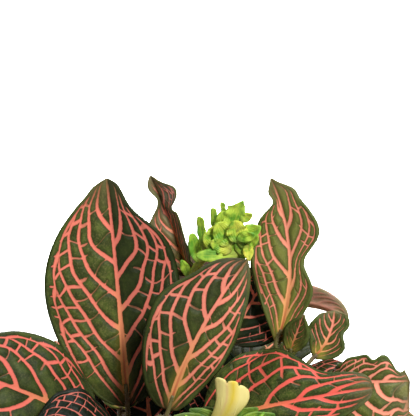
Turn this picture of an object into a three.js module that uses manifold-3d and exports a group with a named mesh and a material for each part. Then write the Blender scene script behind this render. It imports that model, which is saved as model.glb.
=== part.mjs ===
// A potted nerve plant: a bushy mound of net-veined leaves on short creeping shoots,
// with two leafy flower spikes and one open flower, in a plain round clay pot.
//
// Millimetres, +Z up. The origin is the middle of the pot's base, and -Y is the side that faces the viewer.
// Each leafy shoot is one solid: its stem, leaf stalks and blades grew as one piece.

import * as THREE from 'three';
import { mergeVertices } from 'three/addons/utils/BufferGeometryUtils.js';
import Module from 'manifold-3d';

const wasm = await Module();
wasm.setup();

// Driving dimensions: the pot.
const POT_HEIGHT = 105;
const POT_FOOT_RADIUS = 42;
const POT_RIM_RADIUS = 62;
const POT_WALL = 5;
const POT_FLOOR = 8;
const COLLAR_HEIGHT = 24;
const COLLAR_STEP = 3;
const EDGE = 1.2;
const POT_SEGMENTS = 32;
const DRAIN_HOLES = 3;
const DRAIN_RADIUS = 4.5;
const DRAIN_SIDES = 16;
const DRAIN_RING = 22;

// Driving dimensions: the soil.
const SOIL_BELOW_RIM = 11;
const SOIL_RELIEF = 1.1;
const SOIL_SWELL = 32;
const SOIL_RIPPLE = 22;
const SOIL_RINGS = 3;
const CLEARANCE = 0.35;
const HOLE_CLEARANCE = 0.7;

// Driving dimensions: the plant.
const BLADE_THICKNESS = 0.8;
const BLADE_STEPS = [8, 4];
const YOUNG_STEPS = [3, 2];
const YOUNG_REACH = 8;
const YOUNG_RISE = 6;
const YOUNG_WIDTH = 7;
const YOUNG_TURN = 35;
const YOUNG_AT = 0.985;
const STEM_RADIUS = 2.1;
const STEM_TIP_RADIUS = 1.3;
const STEM_STEPS = 6;
const STEM_SIDES = 6;
const LAST_JOINT = 0.99;
const ROOTED_DEPTH = 22;
const STALK_RADIUS = 0.95;
const STALK_END_RADIUS = 0.71;
const STALK_SIDES = 4;
const SHORT_STALK = 6;
const STALK_LEAD = 0.4;
const STALK_ENDS_AT = 0.1;
const LEAST_HALF_WIDTH = 0.45;
const FOLD_STARTS_BY = 0.12;
const CURL_SECTIONS = 6;
const WAVE_SHIFT = 0.21;

// Driving dimensions: the flower spikes and the flower.
const SPIKE_GAP = 0.45;
const SPIKE_RADII = [1.3, 1.6];
const SPIKE_SIDES = 6;
const BRACT_STEPS = [3, 2];
const BRACT_TURN = 35;
const BRACT_SPAN = [0.25, 0.98];
const BRACT_BOW = 0.12;
const FLOWER_WAY = [0.14, 0, 1];
const FLOWER_TUBE = { height: 7.4, radii: [1.1, 2.1], sides: 8 };
const FLOWER_LIPS = [
  { height: 18.5, foot: 3.6, top: 5.6, lobes: 3, cup: 1, sway: 0.9, steps: [4, 12] },
  { height: 13, foot: 1.2, top: 2.85, lobes: 1, cup: -1, sway: 0, steps: [3, 4] },
];
const LOBE_DEPTH = 0.1;
const LOBE_ROUND = 0.4;
const LIP_FLARE = 1.2;
const LIP_START = 0.4;
const LIP_SIDES = 1.2;

const SOIL_HEIGHT = POT_HEIGHT - SOIL_BELOW_RIM;
const UP = new THREE.Vector3(0, 0, 1);

const vector = (values) => new THREE.Vector3(...values);
const radians = THREE.MathUtils.degToRad;

// A place given by its compass angle (0 is +X, 90 is +Y), its distance from the pot's axis and its height.
function polar(angle, radius, height) {
  return [radius * Math.cos(radians(angle)), radius * Math.sin(radians(angle)), height];
}

// Each shoot: where it stands in the soil, and the places that its stem passes through up to its tip.
const SHOOTS = {
  left: { root: [-20, 6], path: [[-21, 3, 112], [-22, -2, 127]] },
  front: { root: [0, -12], path: [[0, -14, 112], [0, -18, 127]] },
  right: { root: [27, 0], path: [[30, 2, 116], [34, 0, 145]] },
  centre: {
    root: [4, 8],
    path: [[3, 10, 120], [1, 11, 145], [-2.2, 10.3, 161], [0.8, 9, 166]],
    spike: 'flower_spike_tall',
  },
  back_right: { root: [26, 24], path: [[29, 21, 116], [34, 18, 146]] },
  back: { root: [0, 30], path: [[0, 31, 112], [0, 30, 134]] },
  back_left: { root: [-26, 24], path: [[-28, 25, 112], [-28, 25, 136]] },
  low_left: { root: [-34, -12], path: [[-36, -14, 106], [-38, -16, 117]] },
  low_front: {
    root: [6, -33],
    path: [[9, -38, 106], [13.2, -42.2, 114], [13.6, -42.6, 121]],
    spike: 'flower_spike_low',
  },
  low_right: { root: [38, -14], path: [[42, -14, 106], [46, -12, 124]] },
};

// Each blade names the shoot that carries it, how far up the stem its stalk leaves (node), its base, its tip
// and its greatest width. What else a row may say:
// face is the way its upper side looks.
// bow and bend push the midrib's middle towards the face and to the right, and hook pushes its tip out.
// twist turns the blade about its midrib from base to tip (degrees).
// fold and curl are how far each half lifts and how much that changes out to the edge, in degrees on the left
// and on the right.
// wave and ripples are the height and the count of the edge's waves, and phase is where they start.
// baseFull, tipSharp and widest shape the outline: its round base, its point and its broadest place.
// halves is each half's share of the width, and a pinch narrows one side: [side, place, depth, spread].
const BLADE = {
  face: [0, 0, 1], bow: 0, bend: 0, hook: 0, twist: 0, fold: [14, 14], curl: [-18, -18],
  wave: 0.8, ripples: 3, phase: 0, baseFull: 0.6, tipSharp: 0.95, widest: 0.88, halves: [1, 1], pinch: [],
};

const LEAVES = {
  tall_left: { shoot: 'left', node: 0.92, base: [-19.7, -5, 128], tip: [-26.4, 14, 203.6],
    face: [0.1, -0.95, 0.28], width: 44, bow: -2, bend: 0.5, wave: 0.8, ripples: 2.5, fold: [6, 12],
    curl: [-12, -14], halves: [1.13, 0.96], widest: 1.06, baseFull: 0.46, tipSharp: 0.8,
    pinch: [[1, 0.88, 0.37, 0.1], [-1, 0.985, -0.3, 0.03], [1, 0.985, -0.25, 0.03]] },
  folded: { shoot: 'centre', node: 0.86, base: [1.8, 12, 169], tip: [-12.1, 26, 200.4],
    face: [-0.1, -0.82, 0.1], width: 25, bend: 0.8, twist: 18.5, fold: [16, 55], curl: [0, 0],
    halves: [0.73, 0.6], widest: 0.77, tipSharp: 0.65,
    pinch: [[-1, 0.766, 0.75, 0.123], [1, 0.63, 0.53, 0.033], [1, 0.777, -1.5, 0.12]] },
  middle: { shoot: 'front', node: 0.95, base: [-5.6, -24, 135.5], tip: [20.7, -10, 183.3],
    face: [0.1, -0.95, 0.3], width: 36, bow: 3, bend: -3.3, fold: [8, 18], curl: [-18, -18],
    hook: -2, halves: [1.02, 0.69], widest: 1.15, baseFull: 0.41, tipSharp: 0.75,
    pinch: [[-1, 0.777, 0.19, 0.134], [1, 0.71, 0.11, 0.146]] },
  tall_right: { shoot: 'right', node: 1, base: [30.5, 0, 148.4], tip: [28.7, 12, 204.3],
    face: [-0.1, -0.97, 0.2], width: 29, bend: 5.6, fold: [6, 14], curl: [-8, -10], wave: 1.2,
    ripples: 2.6, phase: 0.1, halves: [0.92, 0.98], widest: 1.01, baseFull: 0.92, tipSharp: 0.92,
    pinch: [[-1, 0.874, 0.61, 0.047], [1, 0.498, 0.61, 0.119], [1, 0.221, 0.31, 0.282],
      [1, 0.919, -0.38, 0.045]] },
  turned_over: { shoot: 'back_right', node: 1, base: [35.1, 18, 156.9], tip: [55.4, 8, 155.6],
    face: [0.2, 0.95, 0.3], width: 15, bend: 2.8, fold: [0, 0], curl: [0, 0], wave: 0.4, ripples: 1,
    halves: [0.4, 1.05], widest: 0.91, tipSharp: 0.65 },
  small_right: { shoot: 'right', node: 0.96, base: [43, -3, 145.3], tip: [50.3, 4, 159.8],
    face: [-0.1, -0.9, 0.4], width: 25, bend: 1.9, ripples: 2, halves: [0.63, 0.58], widest: 1,
    baseFull: 0.8, tipSharp: 0.27, pinch: [[1, 0.609, 0.37, 0.12], [-1, 0.278, 0.21, 0.082]] },
  young: { shoot: 'right', node: 0.98, base: [35.2, -3, 147.5], tip: [39.6, -5, 162.2],
    face: [-0.2, -0.9, 0.3], width: 9.5, wave: 0.3 },
  far_left: { shoot: 'left', node: 0.85, base: [-30, -20, 129], tip: [-82, -32, 158],
    face: [-0.1, -0.75, 0.65], width: 41, bow: 5, fold: [12, 6], curl: [-22, -22] },
  near_left: { shoot: 'low_left', node: 1, base: [-23, -28, 130.5], tip: [-51, -43.5, 135.5],
    face: [0, -0.7, 0.7], width: 28, bow: 4, halves: [0.6, 1] },
  big_right: { shoot: 'front', node: 0.9, base: [5, -18, 128.5], tip: [61, -36, 149.5],
    face: [0, -0.6, 0.8], width: 41, bow: 3.3, bend: 1.1, fold: [9, 10], curl: [-34, -22],
    halves: [1.25, 0.76], widest: 0.55, baseFull: 0.75, tipSharp: 0.45, pinch: [[-1, 0.78, 0.43, 0.19]] },
  frilled: { shoot: 'right', node: 0.8, base: [48.2, -3, 137.6], tip: [74.2, -20, 144.6],
    face: [-0.1, -0.75, 0.6], width: 34, bow: 5.5, bend: 2.3, wave: 1.1, ripples: 1.9, phase: 0.1,
    halves: [0.58, 1.32], widest: 1.34, baseFull: 0.4, tipSharp: 0.26,
    pinch: [[-1, 0.213, 0.21, 0.039], [-1, 0.654, 0.25, 0.069], [-1, 0.913, 0.55, 0.065],
      [1, 0.88, 0.18, 0.051]] },
  shaded: { shoot: 'centre', node: 0.6, base: [14, 4, 148], tip: [30, 16, 171],
    face: [-0.1, -0.95, 0.3], width: 30 },
  front_middle: { shoot: 'front', node: 0.92, base: [-10, -32, 134], tip: [-22, -79, 119],
    face: [0, -0.3, 0.95], width: 34, bow: 5, fold: [16, 16] },
  front_right: { shoot: 'low_front', node: 0.7, base: [18, -47, 117], tip: [34, -85, 109], width: 34,
    bow: 7 },
  inner_left: { shoot: 'centre', node: 0.35, base: [-12, 8, 110], tip: [-16, 14, 150],
    face: [0, -0.95, 0.3], width: 36 },
  lower_right: { shoot: 'low_right', node: 0.95, base: [39, -18, 117], tip: [57, -60, 114],
    face: [0.1, -0.4, 0.9], width: 34, bow: 7 },
  inner_right: { shoot: 'centre', node: 0.3, base: [8, 0, 118], tip: [14, 2, 147],
    face: [0, -0.95, 0.3], width: 28 },
  inner_front: { shoot: 'front', node: 0.6, base: [-6, -18, 118], tip: [-24, -54, 119], width: 30,
    bow: 5 },
  // The middle tier, spreading over the pot's rim at the back and the sides.
  mid_0: { shoot: 'low_right', node: 1, base: polar(340, 48, 120), tip: polar(342, 90, 111),
    width: 34, bow: 7 },
  mid_1: { shoot: 'back_right', node: 0.6, base: polar(20, 36, 125),
    tip: polar(21, 84, 115), width: 30, bow: 6 },
  mid_2: { shoot: 'back_right', node: 0.6, base: polar(46, 30, 128),
    tip: polar(50, 82, 122), width: 38, bow: 9 },
  mid_3: { shoot: 'back', node: 0.9, base: polar(86, 34, 134), tip: polar(88, 84, 126),
    width: 38, bow: 8 },
  mid_4: { shoot: 'back_left', node: 0.75, base: polar(128, 36, 123),
    tip: polar(126, 86, 115), width: 38, bow: 9 },
  mid_5: { shoot: 'back_left', node: 0.8, base: polar(160, 34, 129),
    tip: polar(166, 84, 121), width: 36, bow: 8 },
  // Upright leaves behind the tall ones, facing the back.
  rear_1: { shoot: 'back_left', node: 1, base: [-24, 26, 140], tip: [-32, 44, 176],
    face: [0, 0.8, 0.6], width: 32, bow: 2 },
  rear_2: { shoot: 'back', node: 1, base: [4, 28, 142], tip: [12, 44, 172],
    face: [0, 0.8, 0.6], width: 28, bow: 2 },
  rear_3: { shoot: 'back_right', node: 0.95, base: [30, 23, 148], tip: [32, 38, 165],
    face: [0.1, 0.8, 0.6], width: 22, bow: 2 },
  // The lowest tier, hanging over the pot's rim.
  low_1: { shoot: 'low_right', node: 0.9, base: polar(352, 50, 119),
    tip: polar(356, 96, 104), width: 36, bow: 7 },
  low_2: { shoot: 'back_right', node: 0.3, base: polar(28, 40, 116),
    tip: polar(30, 94, 102), width: 38, bow: 8 },
  low_3: { shoot: 'back', node: 0.5, base: polar(68, 36, 114), tip: polar(68, 92, 100),
    width: 38, bow: 9 },
  low_4: { shoot: 'back', node: 0.55, base: polar(106, 36, 115), tip: polar(107, 92, 100),
    width: 38, bow: 9 },
  low_5: { shoot: 'back_left', node: 0.45, base: polar(145, 40, 115),
    tip: polar(146, 94, 101), width: 38, bow: 8 },
  low_6: { shoot: 'low_left', node: 0.6, base: polar(182, 40, 114),
    tip: polar(182, 94, 104), width: 36, bow: 8 },
  low_7: { shoot: 'low_left', node: 0.85, base: polar(214, 44, 115),
    tip: polar(218, 96, 104), width: 38, bow: 8 },
  low_8: { shoot: 'front', node: 0.5, base: polar(252, 40, 114), tip: polar(252, 92, 98),
    width: 36, bow: 9 },
  low_9: { shoot: 'low_front', node: 0.4, base: polar(286, 44, 113),
    tip: polar(288, 94, 98), width: 36, bow: 8 },
  low_10: { shoot: 'low_right', node: 0.6, base: polar(322, 46, 114),
    tip: polar(320, 95, 102), width: 38, bow: 8 },
};

// The two flower spikes: the tip of the axis, the number of bract pairs, and the length, width and lean
// (degrees from the axis) of the lowest and the highest bracts.
const SPIKES = {
  flower_spike_tall: {
    tip: [18, 2, 192.5], pairs: 7, length: [12.5, 9.5], width: [8, 7.5], lean: [75, 26],
  },
  flower_spike_low: {
    tip: [14.3, -43.4, 137], pairs: 3, length: [9.8, 17], width: [7.2, 9.5], lean: [72, 50],
  },
};

// Shapes that every leaf, bract and petal shares.

// A blade's half-width at s along the midrib, on its left (-1) or right (1).
function halfWidth(leaf, s, side) {
  const power = leaf.baseFull + (leaf.tipSharp - leaf.baseFull) * s;
  let width = 0.5 * leaf.width * Math.max(0, Math.sin(Math.PI * s ** leaf.widest)) ** power;
  width *= leaf.halves[side < 0 ? 0 : 1];
  for (const [where, place, depth, spread] of leaf.pinch) {
    if (where === side) width *= 1 - depth * Math.exp(-(((s - place) / spread) ** 2));
  }
  return Math.max(width, LEAST_HALF_WIDTH);
}

// The midrib at s from 0 to 1: its place, its direction, the blade's normal there and the way to its right.
function midrib(leaf, s) {
  const base = vector(leaf.base);
  const chord = vector(leaf.tip).sub(base);
  const along = chord.clone().normalize();
  const face = vector(leaf.face);
  face.addScaledVector(along, -face.dot(along)).normalize();
  const side = along.clone().cross(face);
  const arch = 4 * s * (1 - s);
  const archRate = 4 - 8 * s;
  const place = base.addScaledVector(chord, s)
    .addScaledVector(face, leaf.bow * arch + leaf.hook * s ** 4)
    .addScaledVector(side, leaf.bend * arch);
  const direction = chord.clone()
    .addScaledVector(face, leaf.bow * archRate + 4 * leaf.hook * s ** 3)
    .addScaledVector(side, leaf.bend * archRate)
    .normalize();
  const flat = face.addScaledVector(direction, -face.dot(direction)).normalize();
  const across = direction.clone().cross(flat);
  const turn = radians(leaf.twist * (s - 0.5));
  const normal = flat.clone().multiplyScalar(Math.cos(turn)).addScaledVector(across, Math.sin(turn));
  const right = across.multiplyScalar(Math.cos(turn)).addScaledVector(flat, -Math.sin(turn));
  return { place, direction, normal, right };
}

// The blade's middle surface at s along the midrib and v across it (-1 left edge, 1 right edge).
function bladeSurface(leaf) {
  return (s, v) => {
    const { place, normal, right } = midrib(leaf, s);
    const side = v < 0 ? -1 : 1;
    const half = side < 0 ? 0 : 1;
    const out = Math.abs(v);
    const width = halfWidth(leaf, s, side);
    const ease = Math.min(1, s / FOLD_STARTS_BY);
    const slope = (share) => radians(leaf.fold[half] + leaf.curl[half] * share) * ease;
    let across = 0;
    let height = leaf.wave * out ** 2 * Math.sqrt(Math.max(0, Math.sin(Math.PI * s)))
      * Math.sin(2 * Math.PI * (leaf.ripples * s + leaf.phase + WAVE_SHIFT * side));
    for (let k = 0; k < CURL_SECTIONS; k += 1) {
      const angle = slope((out * (k + 0.5)) / CURL_SECTIONS);
      across += (Math.cos(angle) * out * width) / CURL_SECTIONS;
      height += (Math.sin(angle) * out * width) / CURL_SECTIONS;
    }
    const point = place.addScaledVector(right, side * across).addScaledVector(normal, height);
    const edge = slope(out);
    const facing = normal.multiplyScalar(Math.cos(edge)).addScaledVector(right, -side * Math.sin(edge));
    return { point, facing };
  };
}

// A closed sheet of even thickness about a surface given as (s, v), with alike triangles on both faces.
function sheet(surface, [lengthSteps, widthSteps], thickness) {
  const columns = widthSteps + 1;
  const count = (lengthSteps + 1) * columns;
  const positions = new Float32Array(count * 6);
  for (let i = 0; i <= lengthSteps; i += 1) {
    for (let j = 0; j <= widthSteps; j += 1) {
      const { point, facing } = surface(i / lengthSteps, (2 * j) / widthSteps - 1);
      const at = i * columns + j;
      point.clone().addScaledVector(facing, thickness / 2).toArray(positions, 3 * at);
      point.clone().addScaledVector(facing, -thickness / 2).toArray(positions, 3 * (at + count));
    }
  }
  const index = [];
  for (let i = 0; i < lengthSteps; i += 1) {
    for (let j = 0; j < widthSteps; j += 1) {
      const a = i * columns + j;
      const b = a + columns;
      const halves = j < widthSteps / 2
        ? [[a, a + 1, b], [b, a + 1, b + 1]]
        : [[a, b + 1, b], [a, a + 1, b + 1]];
      for (const [p, q, r] of halves) index.push(p, q, r, r + count, q + count, p + count);
    }
  }
  const rim = [];
  for (let i = 0; i < lengthSteps; i += 1) rim.push(i * columns);
  for (let j = 0; j < widthSteps; j += 1) rim.push(lengthSteps * columns + j);
  for (let i = lengthSteps; i > 0; i -= 1) rim.push(i * columns + widthSteps);
  for (let j = widthSteps; j > 0; j -= 1) rim.push(j);
  rim.forEach((a, k) => {
    const b = rim[(k + 1) % rim.length];
    index.push(a, b, b + count, a, b + count, a + count);
  });
  return new THREE.BufferGeometry()
    .setAttribute('position', new THREE.BufferAttribute(positions, 3))
    .setIndex(index);
}

// A closed tube along a curve, whose radius goes from one end's to the other's.
function taperedTube(curve, steps, sides, radii) {
  const frames = curve.computeFrenetFrames(steps, false);
  const positions = [];
  for (let i = 0; i <= steps; i += 1) {
    const centre = curve.getPointAt(i / steps);
    const radius = THREE.MathUtils.lerp(radii[0], radii[1], i / steps);
    for (let k = 0; k < sides; k += 1) {
      const turn = (2 * Math.PI * k) / sides;
      const point = centre.clone()
        .addScaledVector(frames.normals[i], radius * Math.cos(turn))
        .addScaledVector(frames.binormals[i], radius * Math.sin(turn));
      positions.push(...point.toArray());
    }
  }
  const first = positions.length / 3;
  positions.push(...curve.getPointAt(0).toArray(), ...curve.getPointAt(1).toArray());
  const index = [];
  for (let k = 0; k < sides; k += 1) {
    const next = (k + 1) % sides;
    for (let i = 0; i < steps; i += 1) {
      const a = i * sides + k;
      const b = i * sides + next;
      index.push(a, b, b + sides, a, b + sides, a + sides);
    }
    index.push(first, next, k, first + 1, steps * sides + k, steps * sides + next);
  }
  return new THREE.BufferGeometry()
    .setAttribute('position', new THREE.Float32BufferAttribute(positions, 3))
    .setIndex(index);
}

// Joining and cutting solids.

function solid(geometry) {
  const bare = geometry.clone();
  for (const name of Object.keys(bare.attributes)) {
    if (name !== 'position') bare.deleteAttribute(name);
  }
  const merged = mergeVertices(bare, 1e-4);
  const made = new wasm.Manifold(new wasm.Mesh({
    numProp: 3,
    vertProperties: new Float32Array(merged.attributes.position.array),
    triVerts: new Uint32Array(merged.index.array),
  }));
  if (made.volume() < 0) throw new Error('a solid is inside out');
  return made;
}

function join(solids) {
  return solids.reduce((whole, piece) => whole.add(piece));
}

function nodeMesh(name, shape, material) {
  const { vertProperties, triVerts } = shape.getMesh();
  const geometry = new THREE.BufferGeometry()
    .setAttribute('position', new THREE.BufferAttribute(vertProperties, 3))
    .setIndex(new THREE.BufferAttribute(triVerts, 1));
  geometry.computeVertexNormals();
  const mesh = new THREE.Mesh(geometry, material);
  mesh.name = name;
  return mesh;
}

// The pot and its soil.

// The pot's outside radius at a height, without its collar.
function wallRadius(height) {
  return THREE.MathUtils.lerp(POT_FOOT_RADIUS, POT_RIM_RADIUS - COLLAR_STEP, height / POT_HEIGHT);
}

function turned(profile) {
  const points = profile.map(([r, z]) => new THREE.Vector2(r, z));
  return new THREE.LatheGeometry(points, POT_SEGMENTS).rotateX(Math.PI / 2);
}

function pot() {
  const collarBottom = POT_HEIGHT - COLLAR_HEIGHT;
  const body = solid(turned([
    [0, 0],
    [POT_FOOT_RADIUS - EDGE, 0],
    [wallRadius(EDGE), EDGE],
    [wallRadius(collarBottom), collarBottom],
    [wallRadius(collarBottom) + COLLAR_STEP, collarBottom + EDGE],
    [POT_RIM_RADIUS, POT_HEIGHT - EDGE],
    [POT_RIM_RADIUS - EDGE, POT_HEIGHT],
    [POT_RIM_RADIUS - COLLAR_STEP - POT_WALL + EDGE, POT_HEIGHT],
    [POT_RIM_RADIUS - COLLAR_STEP - POT_WALL, POT_HEIGHT - EDGE],
    [wallRadius(POT_FLOOR) - POT_WALL, POT_FLOOR],
    [0, POT_FLOOR],
  ]));
  const holes = [];
  for (let k = 0; k < DRAIN_HOLES; k += 1) {
    const [x, y] = polar(90 + (360 * k) / DRAIN_HOLES, DRAIN_RING, 0);
    const drill = new THREE.CylinderGeometry(DRAIN_RADIUS, DRAIN_RADIUS, 3 * POT_FLOOR, DRAIN_SIDES);
    holes.push(solid(drill.rotateX(Math.PI / 2).translate(x, y, 0)));
  }
  return body.subtract(join(holes));
}

// The soil's surface: a broad swell and a lower slanting ripple, which die away at the pot's wall.
function soilSurface(x, y) {
  const inner = wallRadius(SOIL_HEIGHT) - POT_WALL;
  const fade = 1 - (Math.hypot(x, y) / inner) ** 4;
  const wave = (place, length) => Math.sin((2 * Math.PI * place) / length);
  const bumps = wave(x, SOIL_SWELL) * wave(y, SOIL_SWELL) + wave(x - y, SOIL_RIPPLE) / 2;
  return SOIL_HEIGHT + SOIL_RELIEF * bumps * Math.max(0, fade);
}

function soil(stems) {
  const bottom = POT_FLOOR + CLEARANCE;
  const bottomRadius = wallRadius(bottom) - POT_WALL - CLEARANCE;
  const topRadius = wallRadius(SOIL_HEIGHT) - POT_WALL - CLEARANCE;
  const profile = [[0, bottom], [bottomRadius, bottom]];
  for (let k = SOIL_RINGS; k >= 0; k -= 1) profile.push([(topRadius * k) / SOIL_RINGS, SOIL_HEIGHT]);
  const geometry = turned(profile);
  const place = geometry.attributes.position;
  for (let i = 0; i < place.count; i += 1) {
    if (place.getZ(i) > SOIL_HEIGHT - 1) place.setZ(i, soilSurface(place.getX(i), place.getY(i)));
  }
  return solid(geometry).subtract(join(stems));
}

// The leafy shoots.

function stemCurve({ root, path }, depth = ROOTED_DEPTH) {
  const [x, y] = root;
  const points = [[x, y, SOIL_HEIGHT - depth], [x, y, SOIL_HEIGHT], ...path];
  return new THREE.CatmullRomCurve3(points.map(vector), false, 'centripetal');
}

// The share of a stem's length that lies in the soil.
function rootedShare(curve) {
  return ROOTED_DEPTH / curve.getLength();
}

// A leaf stalk, from its joint on the stem to a little way under the blade.
function stalk(curve, leaf) {
  const share = rootedShare(curve);
  const joint = curve.getPointAt(THREE.MathUtils.lerp(share, LAST_JOINT, leaf.node));
  const start = midrib(leaf, 0);
  const under = midrib(leaf, STALK_ENDS_AT);
  const reach = joint.distanceTo(start.place);
  const lead = start.place.clone().addScaledVector(start.direction, -STALK_LEAD * reach);
  const long = reach > SHORT_STALK;
  const route = long ? [joint, lead, start.place, under.place] : [joint, start.place, under.place];
  const line = new THREE.CatmullRomCurve3(route, false, 'centripetal');
  return solid(taperedTube(line, long ? 4 : 2, STALK_SIDES, [STALK_RADIUS, STALK_END_RADIUS]));
}

function blade(leaf, steps) {
  return solid(sheet(bladeSurface(leaf), steps, BLADE_THICKNESS));
}

// The pair of young leaves at a shoot's tip.
function youngPair(curve, turn) {
  const tip = curve.getPointAt(YOUNG_AT);
  return [0, 180].map((angle) => {
    const out = vector(polar(turn + angle, 1, 0));
    const end = tip.clone().addScaledVector(out, YOUNG_REACH).addScaledVector(UP, YOUNG_RISE);
    return blade({
      ...BLADE,
      base: tip.toArray(),
      tip: end.toArray(),
      face: out.clone().multiplyScalar(-1).toArray(),
      width: YOUNG_WIDTH,
      wave: 0.2,
      bow: -1,
    }, YOUNG_STEPS);
  });
}

function shoot(name, index) {
  const curve = stemCurve(SHOOTS[name]);
  const pieces = [solid(taperedTube(curve, STEM_STEPS, STEM_SIDES, [STEM_RADIUS, STEM_TIP_RADIUS]))];
  for (const row of Object.values(LEAVES).filter((leaf) => leaf.shoot === name)) {
    const leaf = { ...BLADE, ...row };
    pieces.push(stalk(curve, leaf), blade(leaf, BLADE_STEPS));
  }
  if (!SHOOTS[name].spike) pieces.push(...youngPair(curve, YOUNG_TURN * index));
  return join(pieces);
}

// The hole in the soil that a stem stands in: the stem's own shape, a little wider and deeper.
function stemHole(name) {
  const curve = stemCurve(SHOOTS[name], ROOTED_DEPTH + CLEARANCE);
  const radii = [STEM_RADIUS + HOLE_CLEARANCE, STEM_TIP_RADIUS + HOLE_CLEARANCE];
  return solid(taperedTube(curve, STEM_STEPS, STEM_SIDES, radii));
}

// The flower spikes and the flower.

function bract(place, axis, out, length, width, lean) {
  const end = place.clone()
    .addScaledVector(axis, length * Math.cos(radians(lean)))
    .addScaledVector(out, length * Math.sin(radians(lean)));
  const leaf = {
    ...BLADE,
    base: place.toArray(),
    tip: end.toArray(),
    face: axis.clone().addScaledVector(out, -1).toArray(),
    width,
    bow: -BRACT_BOW * length,
    wave: 0,
    widest: 1,
  };
  return solid(sheet(bladeSurface(leaf), BRACT_STEPS, BLADE_THICKNESS));
}

// The line of a spike's axis, which starts just clear of the tip of the stem that carries it.
function spikeLine(name) {
  const [, shootRow] = Object.entries(SHOOTS).find(([, row]) => row.spike === name);
  const stemTip = stemCurve(shootRow).getPoint(1);
  const tip = vector(SPIKES[name].tip);
  const axis = tip.clone().sub(stemTip).normalize();
  return new THREE.LineCurve3(stemTip.addScaledVector(axis, SPIKE_GAP), tip);
}

function spike(name) {
  const { pairs, length, width, lean } = SPIKES[name];
  const line = spikeLine(name);
  const axis = line.v2.clone().sub(line.v1).normalize();
  const side = axis.clone().cross(UP).normalize();
  const front = axis.clone().cross(side);
  const pieces = [solid(taperedTube(line, 1, SPIKE_SIDES, SPIKE_RADII))];
  for (let k = 0; k < pairs; k += 1) {
    const share = (k + 0.5) / pairs;
    const turn = radians(90 * k + BRACT_TURN);
    for (const way of [1, -1]) {
      const out = side.clone().multiplyScalar(Math.cos(turn)).addScaledVector(front, Math.sin(turn));
      out.multiplyScalar(way);
      const between = (range) => THREE.MathUtils.lerp(range[0], range[1], share);
      const place = line.getPoint(THREE.MathUtils.lerp(BRACT_SPAN[0], BRACT_SPAN[1], share));
      pieces.push(bract(place, axis, out, between(length), between(width), between(lean)));
    }
  }
  return join(pieces);
}

// The open flower: a short tube that spreads into a three-lobed lower lip, with a narrow upper lip behind it.
// A lip's sway is how far its foot and its top swing to the left, and its middle to the right.
function flower() {
  const line = spikeLine('flower_spike_low');
  const up = vector(FLOWER_WAY).normalize();
  const start = line.v2.clone().addScaledVector(up, SPIKE_GAP);
  const facing = new THREE.Vector3(0, -1, 0).addScaledVector(up, up.y).normalize();
  const right = up.clone().cross(facing);
  const lip = ({ height, foot, top, lobes, cup, sway }) => (s, v) => {
    const notch = 1 - Math.abs(Math.cos((lobes * Math.PI * v) / 2)) ** LOBE_ROUND;
    const point = start.clone()
      .addScaledVector(up, height * s * (1 - LOBE_DEPTH * s * notch))
      .addScaledVector(right, v * THREE.MathUtils.lerp(foot, top, s ** LIP_FLARE))
      .addScaledVector(right, -sway * Math.cos(2 * Math.PI * s))
      .addScaledVector(facing, cup * (LIP_START + s * (1 - v * v) - LIP_SIDES * v * v));
    return { point, facing };
  };
  const { height, radii, sides } = FLOWER_TUBE;
  const throat = new THREE.LineCurve3(start, start.clone().addScaledVector(up, height));
  const lips = FLOWER_LIPS.map((row) => solid(sheet(lip(row), row.steps, BLADE_THICKNESS)));
  return join([solid(taperedTube(throat, 1, sides, radii)), ...lips]);
}

// The whole plant.

const clay = new THREE.MeshStandardMaterial({ color: 0xb8653f, roughness: 0.85, metalness: 0 });
const peat = new THREE.MeshStandardMaterial({ color: 0x3a2a1e, roughness: 0.95, metalness: 0 });
const foliage = new THREE.MeshStandardMaterial({ color: 0x3b5528, roughness: 0.55, metalness: 0 });
const lime = new THREE.MeshStandardMaterial({ color: 0x93c23a, roughness: 0.6, metalness: 0 });
const cream = new THREE.MeshStandardMaterial({ color: 0xe6dc6a, roughness: 0.6, metalness: 0 });

const plant = new THREE.Group();
plant.add(nodeMesh('pot', pot(), clay));
plant.add(nodeMesh('soil', soil(Object.keys(SHOOTS).map(stemHole)), peat));
Object.keys(SHOOTS).forEach((name, index) => {
  plant.add(nodeMesh(`shoot_${name}`, shoot(name, index), foliage));
});
for (const name of Object.keys(SPIKES)) plant.add(nodeMesh(name, spike(name), lime));
plant.add(nodeMesh('flower', flower(), cream));

export default plant;
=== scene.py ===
"""A potted nerve plant: how its clay pot, soil, leafy shoots, flower spikes and flower look.

Each section makes one kind of piece, in the order in which the plant is put together. Shapes are worked out
in millimetres, with +Z up and -Y towards the viewer, and are put into their meshes in metres.
"""

import functools
import math
from types import SimpleNamespace

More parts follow.
